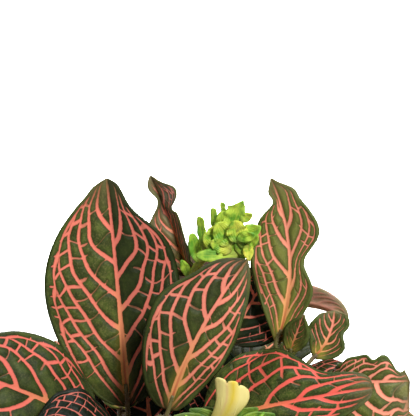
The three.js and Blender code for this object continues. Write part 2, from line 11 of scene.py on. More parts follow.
import bpy
import numpy as np
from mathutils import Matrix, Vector


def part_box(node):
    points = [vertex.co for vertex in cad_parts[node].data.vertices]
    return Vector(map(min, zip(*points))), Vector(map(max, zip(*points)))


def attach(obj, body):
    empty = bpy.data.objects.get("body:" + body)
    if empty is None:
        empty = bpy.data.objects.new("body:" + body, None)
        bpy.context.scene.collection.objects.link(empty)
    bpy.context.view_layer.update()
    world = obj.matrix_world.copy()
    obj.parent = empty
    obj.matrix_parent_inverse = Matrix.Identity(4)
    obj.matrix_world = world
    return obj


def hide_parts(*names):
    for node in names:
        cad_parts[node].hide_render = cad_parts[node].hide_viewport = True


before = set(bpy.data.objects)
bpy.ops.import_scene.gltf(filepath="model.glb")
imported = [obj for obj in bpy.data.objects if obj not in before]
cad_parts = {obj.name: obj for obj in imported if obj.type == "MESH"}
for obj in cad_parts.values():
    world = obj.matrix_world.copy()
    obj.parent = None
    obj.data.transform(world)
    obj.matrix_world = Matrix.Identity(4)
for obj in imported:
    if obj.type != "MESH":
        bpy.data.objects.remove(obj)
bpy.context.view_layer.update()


# The room: the photograph's viewing angle, and a pale paper floor.
# The camera looks down on the leaves from in front, and its frame cuts the plant off above the pot. Its
# target, distance and width of view are in metres.
VIEW_TARGET = (0.00759, 0.0, 0.19805)
VIEW_DISTANCE = 0.7
VIEW_ELEVATION = math.radians(20)
VIEW_WIDTH = 0.13728
SENSOR_WIDTH = 36.0
HALF_FLOOR = 4000.0
PAPER_WHITE = "#F6F6F4"


def linear(colour):
    """An sRGB hex colour as linear red, green, blue and alpha."""
    parts = [int(colour[k:k + 2], 16) / 255 for k in (1, 3, 5)]
    return [c / 12.92 if c <= 0.04045 else ((c + 0.055) / 1.055) ** 2.4 for c in parts] + [1.0]


def add_node(tree, kind, *inputs, **named):
    """Adds a shader node; a kind in capitals is a Math node's operation. The inputs fill its open sockets in
    order: numbers, hex colours, or sockets or nodes to link. Named values with a capital go to the socket of
    that name, with _ for a space, unless they are None. The others are the node's settings."""
    made = tree.nodes.new("ShaderNodeMath" if kind.isupper() else "ShaderNode" + kind)
    if kind.isupper():
        made.operation = kind
    for name in filter(str.islower, named):
        setattr(made, name, named[name])
    pairs = list(zip([socket for socket in made.inputs if socket.enabled], inputs))
    pairs += [(made.inputs[name.replace("_", " ")], named[name]) for name in named if not name.islower()]
    for socket, value in pairs:
        if isinstance(value, bpy.types.Node):
            value = next(output for output in value.outputs if output.enabled)
        if isinstance(value, bpy.types.NodeSocket):
            tree.links.new(value, socket)
        elif value is not None:
            socket.default_value = linear(value) if isinstance(value, str) else value
    return made


def new_material(paint, roughness, gloss=0.5):
    """A material named after its paint function, which adds the nodes of its pattern at places in metres, and
    returns its colour and its bump."""
    made = bpy.data.materials.new(paint.__name__)
    made.use_nodes = True
    made.node_tree.nodes.clear()
    node = functools.partial(add_node, made.node_tree)
    colour, bump = paint(node, node("TexCoord").outputs["Object"])
    shader = node("BsdfPrincipled", colour, Roughness=roughness, Specular_IOR_Level=gloss, Normal=bump)
    node("OutputMaterial", shader)
    return made


def add_object(name, data):
    """Puts a camera, a lamp or a mesh in the scene."""
    made = bpy.data.objects.new(name, data)
    bpy.context.scene.collection.objects.link(made)
    return made


def add_mesh(name, points, faces):
    """Puts a mesh in the scene, in metres, from points in millimetres."""
    mesh = bpy.data.meshes.new(name)
    mesh.from_pydata(np.asarray(points) * 0.001, [], [list(map(int, face)) for face in faces])
    return add_object(name, mesh)


def matt_studio_paper(node, place):
    """Matt white background paper: no gloss, and nearly all light comes back."""
    return PAPER_WHITE, None


floor_corners = HALF_FLOOR * np.array([(-1, -1, 0), (1, -1, 0), (1, 1, 0), (-1, 1, 0)])
floor = add_mesh("floor", floor_corners, [(0, 1, 2, 3)])
floor.data.materials.append(new_material(matt_studio_paper, 0.9))

camera_data = bpy.data.cameras.new("camera")
camera_data.sensor_width = SENSOR_WIDTH
camera_data.lens = SENSOR_WIDTH * VIEW_DISTANCE / VIEW_WIDTH
camera = add_object("camera", camera_data)
camera.rotation_euler = (math.pi / 2 - VIEW_ELEVATION, 0, 0)
to_camera = np.array((0, -math.cos(VIEW_ELEVATION), math.sin(VIEW_ELEVATION)))
camera.location = VIEW_TARGET + VIEW_DISTANCE * to_camera
bpy.context.scene.camera = camera


# The light: a weak white surround, a large soft lamp high on the right in front, a weak one on the left,
# and one behind whose narrow beam lights only the paper. Each has its place and size in metres, its watts,
# the angle of its beam in degrees, and where it points.
SURROUND_STRENGTH = 0.025
LAMPS = {
    "key_lamp": ((0.5, -0.75, 1.1), 0.3, 23.0, 180, VIEW_TARGET),
    "fill_lamp": ((-0.9, -0.7, 0.8), 0.8, 1.6, 180, VIEW_TARGET),
    "back_lamp": ((0.0, 0.95, 1.1), 0.9, 46.0, 80, (0.0, 0.9, 0.0)),
}

world = bpy.data.worlds.new("white_surround")
world.use_nodes = True
surround = world.node_tree.nodes["Background"]
surround.inputs["Color"].default_value = (1, 1, 1, 1)
surround.inputs["Strength"].default_value = SURROUND_STRENGTH
bpy.context.scene.world = world
bpy.context.scene.view_settings.view_transform = "Standard"

for lamp_name, (lamp_place, lamp_size, lamp_watts, lamp_beam, lamp_target) in LAMPS.items():
    lamp_data = bpy.data.lights.new(lamp_name, "AREA")
    lamp_data.size = lamp_size
    lamp_data.energy = lamp_watts
    lamp_data.spread = math.radians(lamp_beam)
    lamp = add_object(lamp_name, lamp_data)
    lamp.location = lamp_place
    lamp.rotation_mode = "QUATERNION"
    lamp.rotation_quaternion = (lamp.location - Vector(lamp_target)).to_track_quat("Z", "Y")


# The pot: a plain flower pot of red clay, pressed in a mould and fired without a glaze, with a thick collar.
# It is one turned body, with three drain holes through its floor.
POT_WALL = 5.0
POT_FLOOR = 8.0
POT_FOOT_RADIUS = 42.0
COLLAR_HEIGHT = 24.0
COLLAR_STEP = 3.0
COLLAR_SLOPE = 1.0
POT_EDGE = 1.6
CORNER_STEPS = 6
POT_SEGMENTS = 160
DRILL_SEGMENTS = 40
DRAIN_RADIUS = 4.5
DRAIN_RING = 22.0
DRAIN_ANGLES = (90, 210, 330)
CLAY = "#B8653F"
CLAY_PALE = "#CB8158"
CLAY_DARK = "#8E4427"
CLAY_BLOOM = "#D9B9A0"


def add_piece(name, points, faces, materials, slot, *nodes, face_material=None, values=None):
    """Makes a smooth mesh piece from points in millimetres, and ties it to the model.
    Values are named arrays with three numbers for each point, which materials read."""
    piece = add_mesh(name, points, faces)
    mesh = piece.data
    for material in materials:
        mesh.materials.append(material)
    if face_material is not None:
        mesh.polygons.foreach_set("material_index", np.asarray(face_material, np.int32))
    for value_name, rows in (values or {}).items():
        attribute = mesh.attributes.new(value_name, "FLOAT_VECTOR", "POINT")
        attribute.data.foreach_set("vector", np.asarray(rows, np.float32).ravel())
    mesh.shade_smooth()
    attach(piece, "root")
    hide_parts(*nodes)
    return piece


def rounded(corners, radius):
    """A profile with its corners rounded: each corner becomes a quadratic curve that starts and ends
    a radius away from it, or half an edge away where that is nearer."""
    corners = np.asarray(corners, float)
    share = np.linspace(0, 1, CORNER_STEPS)[:, None]
    line = [corners[:1]]
    for before, corner, after in zip(corners[:-2], corners[1:-1], corners[2:]):
        back, on = before - corner, after - corner
        start = corner + back * min(0.5, radius / np.linalg.norm(back))
        end = corner + on * min(0.5, radius / np.linalg.norm(on))
        line.append((1 - share) ** 2 * start + 2 * share * (1 - share) * corner + share ** 2 * end)
    return np.vstack(line + [corners[-1:]])


def turned(profile, segments):
    """A body turned about the Z axis. The profile's rows are radius and height, from one pole to the other,
    and each other row becomes a ring: (r cos a, r sin a, z)."""
    angle = 2 * np.pi * np.arange(segments) / segments
    ring = profile[1:-1]
    circle = (ring[:, :1] * np.cos(angle), ring[:, :1] * np.sin(angle), ring[:, 1:] * np.ones(segments))
    points = np.stack(circle, axis=-1).reshape(-1, 3)
    poles = [(0, 0, profile[0][1]), (0, 0, profile[-1][1])]
    number = np.arange(len(points)).reshape(len(ring), segments)
    beside = np.roll(number, -1, axis=1)
    sides = np.stack([number[:-1], beside[:-1], beside[1:], number[1:]], axis=-1).reshape(-1, 4)
    first = np.full(segments, len(points))
    bottom = np.stack([first, beside[0], number[0]], axis=-1)
    top = np.stack([number[-1], beside[-1], first + 1], axis=-1)
    return np.vstack([points, poles]), [*sides, *bottom, *top]


def unglazed_terracotta(node, place):
    """Unglazed earthenware: matt, with fine grit, cloudy firing colour and a pale lime bloom near the rim."""
    grit = node("TexNoise", place, 1 / 0.0011, 2.0)
    ring = node("TexNoise", node("Mapping", place, Scale=(1.0, 1.0, 9.0)), 1 / 0.02, 3.0)
    cloud = node("MapRange", node("TexNoise", place, 1 / 0.028, 4.0), 0.35, 0.7)
    speck = node("MapRange", grit, 0.55, 0.75, 0.0, 0.55)
    high = node("MapRange", node("SeparateXYZ", place).outputs["Z"], 0.078, 0.1, 0.0, 0.5)
    bloom = node("MULTIPLY", high, node("MapRange", ring, 0.45, 0.7))
    colour = CLAY
    for amount, tone in ((cloud, CLAY_PALE), (speck, CLAY_DARK), (bloom, CLAY_BLOOM)):
        colour = node("Mix", amount, colour, tone, data_type="RGBA")
    return colour, node("Bump", Strength=0.35, Distance=0.0006, Height=node("ADD", grit, ring))


pot_low, pot_high = (1000 * np.array(corner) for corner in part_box("pot"))
pot_height = pot_high[2] - pot_low[2]
rim_radius = (pot_high[0] - pot_low[0]) / 2
collar_bottom = pot_height - COLLAR_HEIGHT


def wall_radius(height):
    """The pot's outside radius at a height, below its collar: it widens evenly from foot to rim."""
    return POT_FOOT_RADIUS + (rim_radius - COLLAR_STEP - POT_FOOT_RADIUS) * height / pot_height


pot_profile = rounded([
    (0, 0),
    (POT_FOOT_RADIUS, 0),
    (wall_radius(collar_bottom), collar_bottom),
    (wall_radius(collar_bottom) + COLLAR_STEP, collar_bottom + COLLAR_SLOPE),
    (rim_radius, pot_height),
    (rim_radius - COLLAR_STEP - POT_WALL, pot_height),
    (wall_radius(POT_FLOOR) - POT_WALL, POT_FLOOR),
    (0, POT_FLOOR),
], POT_EDGE)
clay = new_material(unglazed_terracotta, 0.85, gloss=0.3)
pot = add_piece("clay_pot", *turned(pot_profile, POT_SEGMENTS), [clay], "clay", "pot")
drill_profile = np.array([(0, -1), (DRAIN_RADIUS, -1), (DRAIN_RADIUS, 2), (0, 2)]) * (1, POT_FLOOR)
for angle in np.radians(DRAIN_ANGLES):
    drill_points, drill_faces = turned(drill_profile, DRILL_SEGMENTS)
    drill_points += DRAIN_RING * np.array([math.cos(angle), math.sin(angle), 0])
    drill = add_mesh("drill", drill_points, drill_faces)
    cut = pot.modifiers.new("drain_hole", "BOOLEAN")
    cut.operation = "DIFFERENCE"
    cut.object = drill
    cut_mesh = bpy.data.meshes.new_from_object(pot.evaluated_get(bpy.context.evaluated_depsgraph_get()))
    pot.modifiers.clear()
    pot.data = cut_mesh
    bpy.data.objects.remove(drill)


# The soil: moist peat-based potting mix that fills the pot to just below its rim.
# It is one crumbly body with a lumpy top, loose crumbs of peat on it, and white grains of perlite.
SOIL_BELOW_RIM = 11.0
SOIL_GAP = 0.35
SOIL_RELIEF = 1.1
SOIL_SWELL = 32.0
SOIL_RIPPLE = 22.0
SOIL_RINGS = 74
SOIL_SEGMENTS = 220
LUMP_SEED = 5
LUMP_WAVES = 26
LUMP_LENGTH = (3, 12)
LUMP_STEEPNESS = 90
LUMP_ROUGHNESS = (0.66, 1.0)
LUMP_FLATNESS = (0.6, 1.0)
CRUMBS = {"count": 520, "sizes": (0.5, 1.5), "seed": 11}
PERLITE_GRAINS = {"count": 90, "sizes": (0.5, 1.3), "seed": 12}
CLEAR_OF_WALL = 4
LIFTED_BY = 0.3
PEAT_DARK = "#1F150E"
PEAT_BROWN = "#4A3324"
PERLITE_GREY = "#B9B2A2"
PERLITE_WHITE = "#E9E6DD"

soil_level = pot_height - SOIL_BELOW_RIM
soil_radius = wall_radius(soil_level) - POT_WALL - SOIL_GAP


def soil_relief(x, y):
    """Height of the soil's top over its level: the swell and ripple of the solid model, plus lumps that are
    a sum of sine waves 3 to 12 mm long in all directions. All of it dies away at the pot's wall."""
    rng = np.random.default_rng(LUMP_SEED)
    fade = np.clip(1 - (np.hypot(x, y) / (soil_radius + SOIL_GAP)) ** 4, 0, 1)
    swell = np.sin(2 * np.pi * x / SOIL_SWELL) * np.sin(2 * np.pi * y / SOIL_SWELL)
    ripple = np.sin(2 * np.pi * (x - y) / SOIL_RIPPLE) / 2
    length = rng.uniform(*LUMP_LENGTH, LUMP_WAVES)
    way = rng.uniform(0, 2 * np.pi, LUMP_WAVES)
    start = rng.uniform(0, 2 * np.pi, LUMP_WAVES)
    place = x[..., None] * np.cos(way) + y[..., None] * np.sin(way)
    lumps = (length * np.sin(2 * np.pi * place / length + start)).sum(-1) / LUMP_STEEPNESS
    return fade * (SOIL_RELIEF * (swell + ripple) + lumps)


def moist_peat_soil(node, place):
    """Moist peat: almost black in its hollows, brown on its crumbs, with a faint damp gloss."""
    crumb = node("TexNoise", place, 1 / 0.0022, 5.0)
    fibre = node("TexNoise", place, 1 / 0.0006, 3.0)
    colour = node("Mix", node("MapRange", crumb, 0.4, 0.68), PEAT_DARK, PEAT_BROWN, data_type="RGBA")
    return colour, node("Bump", Strength=0.9, Distance=0.0012, Height=node("ADD", crumb, fibre))


def perlite(node, place):
    """Expanded volcanic glass: chalk-white, matt and full of fine pores."""
    pores = node("TexNoise", place, 1 / 0.0005, 2.0)
    colour = node("Mix", node("MapRange", pores, 0.3, 0.6), PERLITE_GREY, PERLITE_WHITE, data_type="RGBA")
    return colour, node("Bump", Strength=0.6, Distance=0.0003, Height=pores)


def scattered_lumps(count, sizes, seed):
    """Rough lumps on the soil's top. Each is an octahedron cut once: 18 points on a unit ball, with each
    point's distance varied by up to a third, scaled, and sunk a third into the soil."""
    axis = np.array([(1, 0, 0), (0, 1, 0), (-1, 0, 0), (0, -1, 0), (0, 0, 1), (0, 0, -1)], float)
    faces = [(a, (a + 1) % 4, 4) for a in range(4)] + [((a + 1) % 4, a, 5) for a in range(4)]
    edges = sorted({tuple(sorted((f[k], f[(k + 1) % 3]))) for f in faces for k in range(3)})
    middle = {edge: 6 + k for k, edge in enumerate(edges)}
    halfway = np.array([axis[a] + axis[b] for a, b in edges]) / math.sqrt(2)
    ball = np.vstack([axis, halfway])
    cut_faces = []
    for a, b, c in faces:
        ab, bc, ca = (middle[tuple(sorted(pair))] for pair in ((a, b), (b, c), (c, a)))
        cut_faces += [(a, ab, ca), (ab, b, bc), (ca, bc, c), (ab, bc, ca)]
    rng = np.random.default_rng(seed)
    distance = (soil_radius - CLEAR_OF_WALL) * np.sqrt(rng.uniform(0, 1, count))
    angle = rng.uniform(0, 2 * np.pi, count)
    x, y = distance * np.cos(angle), distance * np.sin(angle)
    size = rng.uniform(*sizes, count)
    z = soil_level + soil_relief(x, y) + LIFTED_BY * size
    shape = ball * rng.uniform(*LUMP_ROUGHNESS, (count, len(ball), 1)) * size[:, None, None]
    shape *= rng.uniform(*LUMP_FLATNESS, (count, 1, 3))
    points = shape + np.stack([x, y, z], axis=-1)[:, None]
    all_faces = np.array(cut_faces) + len(ball) * np.arange(count)[:, None, None]
    return points.reshape(-1, 3), all_faces.reshape(-1, 3)


soil_bottom = POT_FLOOR + SOIL_GAP
top_radii = np.linspace(soil_radius, soil_radius / SOIL_RINGS, SOIL_RINGS)
soil_profile = np.vstack([
    [(0, soil_bottom), (wall_radius(soil_bottom) - POT_WALL - SOIL_GAP, soil_bottom)],
    np.stack([top_radii, np.full(SOIL_RINGS, soil_level)], axis=-1),
    [(0, soil_level)],
])
soil_points, soil_faces = turned(soil_profile, SOIL_SEGMENTS)
on_top = soil_points[:, 2] > soil_level - 1
soil_points[on_top, 2] += soil_relief(soil_points[on_top, 0], soil_points[on_top, 1])
peat = new_material(moist_peat_soil, 0.8)
white_grain = new_material(perlite, 0.95)
add_piece("soil_body", soil_points, soil_faces, [peat], "peat", "soil")
add_piece("soil_crumbs", *scattered_lumps(**CRUMBS), [peat], "peat", "soil")
add_piece("perlite_grains", *scattered_lumps(**PERLITE_GRAINS), [white_grain], "peat", "soil")


# The stems: soft round stems that creep out of the soil, each with a leaf stalk at every leaf.
# They are living green-brown tissue, swollen a little at the joints and covered with short white hairs.
STEM_RADIUS = 2.1
STEM_TIP_RADIUS = 1.3
STEM_STEPS = 70
STEM_SIDES = 14
ROOTED_DEPTH = 22.0
LAST_JOINT = 0.99
JOINT_SWELLING = 0.3
JOINT_LENGTH = 0.02
STALK_RADIUS = 0.95
STALK_END_RADIUS = 0.71
STALK_STEPS = 26
STALK_SIDES = 10
STALK_LEAD = 0.4
STALK_ENDS_AT = 0.1
SHORT_STALK = 6.0
YOUNG_REACH = 8.0
YOUNG_RISE = 6.0
YOUNG_WIDTH = 7.0
YOUNG_TURN = 35
YOUNG_AT = 0.985
HAIR_SEED = 100
HAIRS_PER_MM = 9
HAIR_LENGTH = (0.5, 1.3)
HAIR_RADIUS = 0.045
HAIR_ROOT = 0.96
HAIR_LEAN = 0.35
HAIR_SCATTER = 0.2
CURVE_STEPS = 41
STEM_GREEN = "#5F6230"
STEM_TAN = "#6E5238"
STEM_DARK = "#2C2116"
HAIR_CREAM = "#B7B08F"
HAIR_WHITE = "#E4DDD0"


def polar(angle, radius, height):
    """A place by its compass angle in degrees (0 is +X, 90 is +Y), distance from the axis and height."""
    return (radius * math.cos(math.radians(angle)), radius * math.sin(math.radians(angle)), height)


# Each shoot's stem: the root's place, and the places that it goes through above the soil. Two bear a spike.
SHOOTS = {
    "left": [(-20, 6), (-21, 3, 112), (-22, -2, 127)],
    "front": [(0, -12), (0, -14, 112), (0, -18, 127)],
    "right": [(27, 0), (30, 2, 116), (34, 0, 145)],
    "centre": [(4, 8), (3, 10, 120), (1, 11, 145), (-2.2, 10.3, 161), (0.8, 9, 166)],
    "back_right": [(26, 24), (29, 21, 116), (34, 18, 146)],
    "back": [(0, 30), (0, 31, 112), (0, 30, 134)],
    "back_left": [(-26, 24), (-28, 25, 112), (-28, 25, 136)],
    "low_left": [(-34, -12), (-36, -14, 106), (-38, -16, 117)],
    "low_front": [(6, -33), (9, -38, 106), (13.2, -42.2, 114), (13.6, -42.6, 121)],
    "low_right": [(38, -14), (42, -14, 106), (46, -12, 124)],
}
SPIKE_BEARERS = ("centre", "low_front")

# How a blade may be shaped. face is the way its upper side looks; bow, bend and hook move the midrib; twist,
# fold and curl are degrees; wave and ripples shape the edge; pinch narrows one side: (side, place, depth,
# spread). light is how pale its green is, and red how red its veins are, both from 0 to 1. teeth is the
# number of teeth on each edge, and thin what the veins lose in mm. dusk is how much painted shade,
# blue-dark, lies on each half, and dusty how brown-pink each half is. grid is the mesh's step, quilt the
# bulge between veins, and rib the midrib's height.
BLADE = {
    "face": (0, 0, 1), "bow": 0, "bend": 0, "hook": 0, "twist": 0, "fold": (14, 14), "curl": (-18, -18),
    "wave": 0.8, "ripples": 3, "phase": 0, "base_full": 0.6, "tip_sharp": 0.95, "widest": 0.88,
    "halves": (1, 1), "pinch": (), "teeth": 0, "light": 0.2, "red": 0.3,
    "thin": 0.0, "dusk": (0, 0), "dusty": (0, 0), "grid": 1.15, "quilt": 0.34, "rib": 0.7,
}


def blade(shoot, node, base, tip, width, **shape):
    """A blade of a shoot, with how far up the stem its stalk leaves, its base, its tip and its width."""
    return {**BLADE, "shoot": shoot, "node": node, "base": base, "tip": tip, "width": width, **shape}


LEAVES = {
    "tall_left": blade("left", 0.92, (-19.7, -5, 128), (-26.4, 14, 203.6), 44, face=(0.1, -0.95, 0.28),
        bow=-2, bend=0.5, ripples=2.5, fold=(6, 12), curl=(-12, -14), halves=(1.13, 0.96), widest=1.06,
        base_full=0.46, tip_sharp=0.8, light=0.1, red=0.45, dusk=(0.05, 0.7),
        pinch=((1, 0.88, 0.37, 0.1), (-1, 0.985, -0.3, 0.03), (1, 0.985, -0.25, 0.03))),
    "folded": blade("centre", 0.86, (1.8, 12, 169), (-12.1, 26, 200.4), 25, face=(-0.1, -0.82, 0.1),
        bend=0.8, twist=18.5, fold=(16, 55), curl=(0, 0), halves=(0.73, 0.6), widest=0.77, tip_sharp=0.65,
        pinch=((-1, 0.766, 0.75, 0.123), (1, 0.63, 0.53, 0.033), (1, 0.777, -1.5, 0.12)), dusty=(0.4, 0.3),
        thin=0.1, light=0.35),
    "middle": blade("front", 0.95, (-5.6, -24, 135.5), (20.7, -10, 183.3), 36, face=(0.1, -0.95, 0.3),
        bow=3, bend=-3.3, fold=(8, 18), hook=-2, halves=(1.02, 0.69), widest=1.15, base_full=0.41,
        tip_sharp=0.75, pinch=((-1, 0.777, 0.19, 0.134), (1, 0.71, 0.11, 0.146)), dusk=(0.5, 0.12),
        light=0.15, red=0.2),
    "tall_right": blade("right", 1, (30.5, 0, 148.4), (28.7, 12, 204.3), 29, face=(-0.1, -0.97, 0.2),
        bend=5.6, fold=(6, 14), curl=(-8, -10), wave=1.2, ripples=2.6, phase=0.1, halves=(0.92, 0.98),
        widest=1.01, base_full=0.92, tip_sharp=0.92,
        pinch=((-1, 0.874, 0.61, 0.047), (1, 0.498, 0.61, 0.119), (1, 0.221, 0.31, 0.282),
               (1, 0.919, -0.38, 0.045)),
        light=0.7, thin=0.08, red=0.08),
    "turned_over": blade("back_right", 1, (35.1, 18, 156.9), (55.4, 8, 155.6), 15, face=(0.2, 0.95, 0.3),
        bend=2.8, fold=(0, 0), curl=(0, 0), wave=0.4, ripples=1, halves=(0.4, 1.05), widest=0.91,
        tip_sharp=0.65),
    "small_right": blade("right", 0.96, (43, -3, 145.3), (50.3, 4, 159.8), 25, face=(-0.1, -0.9, 0.4),
        bend=1.9, ripples=2, halves=(0.63, 0.58), widest=1, base_full=0.8, tip_sharp=0.27,
        pinch=((1, 0.609, 0.37, 0.12), (-1, 0.278, 0.21, 0.082)), thin=0.1, light=0.22, red=0.1),
    "young": blade("right", 0.98, (35.2, -3, 147.5), (39.6, -5, 162.2), 9.5, face=(-0.2, -0.9, 0.3),
        wave=0.3, thin=0.2, light=0.3),
    "far_left": blade("left", 0.85, (-30, -20, 129), (-82, -32, 158), 41, face=(-0.1, -0.75, 0.65), bow=5,
        fold=(12, 6), curl=(-22, -22), thin=0.05, light=0.05, red=0.7, dusk=(0.4, 0.4)),
    "near_left": blade("low_left", 1, (-23, -28, 130.5), (-51, -43.5, 135.5), 28, face=(0, -0.7, 0.7),
        bow=4, halves=(0.6, 1), thin=0.25, light=0.0, dusk=(1, 1)),
    "big_right": blade("front", 0.9, (5, -18, 128.5), (61, -36, 149.5), 41, face=(0, -0.6, 0.8), bow=3.3,
        bend=1.1, fold=(9, 10), curl=(-34, -22), halves=(1.25, 0.76), widest=0.55, base_full=0.75,
        tip_sharp=0.45, pinch=((-1, 0.78, 0.43, 0.19),), red=0.9, light=0.0, dusk=(0.1, 0.1)),
    "frilled": blade("right", 0.8, (48.2, -3, 137.6), (74.2, -20, 144.6), 34, face=(-0.1, -0.75, 0.6),
        bow=5.5, bend=2.3, wave=1.1, ripples=1.9, phase=0.1, halves=(0.58, 1.32), widest=1.34,
        base_full=0.4, tip_sharp=0.26, light=0.26, red=0.0,
        pinch=((-1, 0.213, 0.21, 0.039), (-1, 0.654, 0.25, 0.069), (-1, 0.913, 0.55, 0.065),
               (1, 0.88, 0.18, 0.051))),
    "shaded": blade("centre", 0.6, (14, 4, 148), (30, 16, 171), 30, face=(-0.1, -0.95, 0.3), thin=0.25,
        light=0.0, dusk=(0.9, 0.9)),
    "front_middle": blade("front", 0.92, (-10, -32, 134), (-22, -79, 119), 34, face=(0, -0.3, 0.95), bow=5,
        fold=(16, 16)),
    "front_right": blade("low_front", 0.7, (18, -47, 117), (34, -85, 109), 34, bow=7),
    "inner_left": blade("centre", 0.35, (-12, 8, 110), (-16, 14, 150), 36, face=(0, -0.95, 0.3),
        dusk=(1, 1), thin=0.3),
    "lower_right": blade("low_right", 0.95, (39, -18, 117), (57, -60, 114), 34, face=(0.1, -0.4, 0.9),
        bow=7),
    "inner_right": blade("centre", 0.3, (8, 0, 118), (14, 2, 147), 28, face=(0, -0.95, 0.3), dusk=(1, 1),
        thin=0.3),
    "inner_front": blade("front", 0.6, (-6, -18, 118), (-24, -54, 119), 30, bow=5, dusk=(1, 1), thin=0.3),
    "mid_0": blade("low_right", 1, polar(340, 48, 120), polar(342, 90, 111), 34, bow=7),
    "mid_1": blade("back_right", 0.6, polar(20, 36, 125), polar(21, 84, 115), 30, bow=6, dusk=(0.7, 0.7),
        thin=0.2),
    "mid_2": blade("back_right", 0.6, polar(46, 30, 128), polar(50, 82, 122), 38, bow=9, dusk=(0.75, 0.75),
        thin=0.6),
    "mid_3": blade("back", 0.9, polar(86, 34, 134), polar(88, 84, 126), 38, bow=8, dusk=(0.8, 0.8),
        thin=0.2),
    "mid_4": blade("back_left", 0.75, polar(128, 36, 123), polar(126, 86, 115), 38, bow=9),
    "mid_5": blade("back_left", 0.8, polar(160, 34, 129), polar(166, 84, 121), 36, bow=8),
    "rear_1": blade("back_left", 1, (-24, 26, 140), (-32, 44, 176), 32, face=(0, 0.8, 0.6), bow=2),
    "rear_2": blade("back", 1, (4, 28, 142), (12, 44, 172), 28, face=(0, 0.8, 0.6), bow=2, dusk=(0.8, 0.8)),
    "rear_3": blade("back_right", 0.95, (30, 23, 148), (32, 38, 165), 22, face=(0.1, 0.8, 0.6), bow=2),
    "low_1": blade("low_right", 0.9, polar(352, 50, 119), polar(356, 96, 104), 36, bow=7),
    "low_2": blade("back_right", 0.3, polar(28, 40, 116), polar(30, 94, 102), 38, bow=8),
    "low_3": blade("back", 0.5, polar(68, 36, 114), polar(68, 92, 100), 38, bow=9),
    "low_4": blade("back", 0.55, polar(106, 36, 115), polar(107, 92, 100), 38, bow=9),
    "low_5": blade("back_left", 0.45, polar(145, 40, 115), polar(146, 94, 101), 38, bow=8),
    "low_6": blade("low_left", 0.6, polar(182, 40, 114), polar(182, 94, 104), 36, bow=8),
    "low_7": blade("low_left", 0.85, polar(214, 44, 115), polar(218, 96, 104), 38, bow=8),
    "low_8": blade("front", 0.5, polar(252, 40, 114), polar(252, 92, 98), 36, bow=9),
    "low_9": blade("low_front", 0.4, polar(286, 44, 113), polar(288, 94, 98), 36, bow=8),
    "low_10": blade("low_right", 0.6, polar(322, 46, 114), polar(320, 95, 102), 38, bow=8),
}


def unit(vectors):
    """Vectors made one long."""
    return vectors / np.linalg.norm(vectors, axis=-1, keepdims=True)


def smooth_line(places, steps):
    """A smooth line through places, as points at even distances along it. It is a centripetal Catmull-Rom
    curve: a cubic for each stretch, whose end slopes come from the neighbours, weighted by the square root
    of the distances."""
    places = np.asarray(places, float)
    ends = np.vstack([2 * places[0] - places[1], places, 2 * places[-1] - places[-2]])
    gap = np.linalg.norm(np.diff(ends, axis=0), axis=1)[:, None] ** 0.5
    step = np.diff(ends, axis=0)
    chord = (ends[2:] - ends[:-2]) / (gap[:-1] + gap[1:])
    slope = step[:-1] / gap[:-1] - chord + step[1:] / gap[1:]
    share = np.linspace(0, 1, CURVE_STEPS)[:, None, None]
    start, end = places[:-1], places[1:]
    leave, arrive = slope[:-1] * gap[1:-1], slope[1:] * gap[1:-1]
    cubic = (2 * share ** 3 - 3 * share ** 2 + 1) * start + (share ** 3 - 2 * share ** 2 + share) * leave
    cubic = cubic + (3 * share ** 2 - 2 * share ** 3) * end + (share ** 3 - share ** 2) * arrive
    line = cubic.transpose(1, 0, 2).reshape(-1, 3)
    along = np.concatenate([[0], np.cumsum(np.linalg.norm(np.diff(line, axis=0), axis=1))])
    even = np.linspace(0, along[-1], steps + 1)
    return np.stack([np.interp(even, along, line[:, k]) for k in range(3)], axis=-1)


def tube(line, radii, sides):
    """A closed round tube along a line: rings of points about it, square to its direction, with two end
    caps. Each ring's first point lies on the side that looks most along a fixed cross direction."""
    way = unit(np.gradient(line, axis=0))
    aside = np.eye(3)[np.argmin(np.abs(way).mean(axis=0))]
    first = unit(aside - (way @ aside)[:, None] * way)
    second = np.cross(way, first)
    angle = (2 * np.pi * np.arange(sides) / sides)[None, :, None]
    rings = first[:, None] * np.cos(angle) + second[:, None] * np.sin(angle)
    points = line[:, None] + rings * np.asarray(radii)[:, None, None]
    number = np.arange(len(line) * sides).reshape(len(line), sides)
    beside = np.roll(number, -1, axis=1)
    walls = np.stack([number[:-1], beside[:-1], beside[1:], number[1:]], axis=-1).reshape(-1, 4)
    return points.reshape(-1, 3), list(walls) + [number[0][::-1], number[-1]]


def joined(pieces):
    """Several meshes as one: their points one after the other, with the faces' numbers moved to match."""
    points, faces, count = [], [], 0
    for piece_points, piece_faces in pieces:
        points.append(piece_points)
        faces += [np.asarray(face) + count for face in piece_faces]
        count += len(piece_points)
    return np.vstack(points), faces


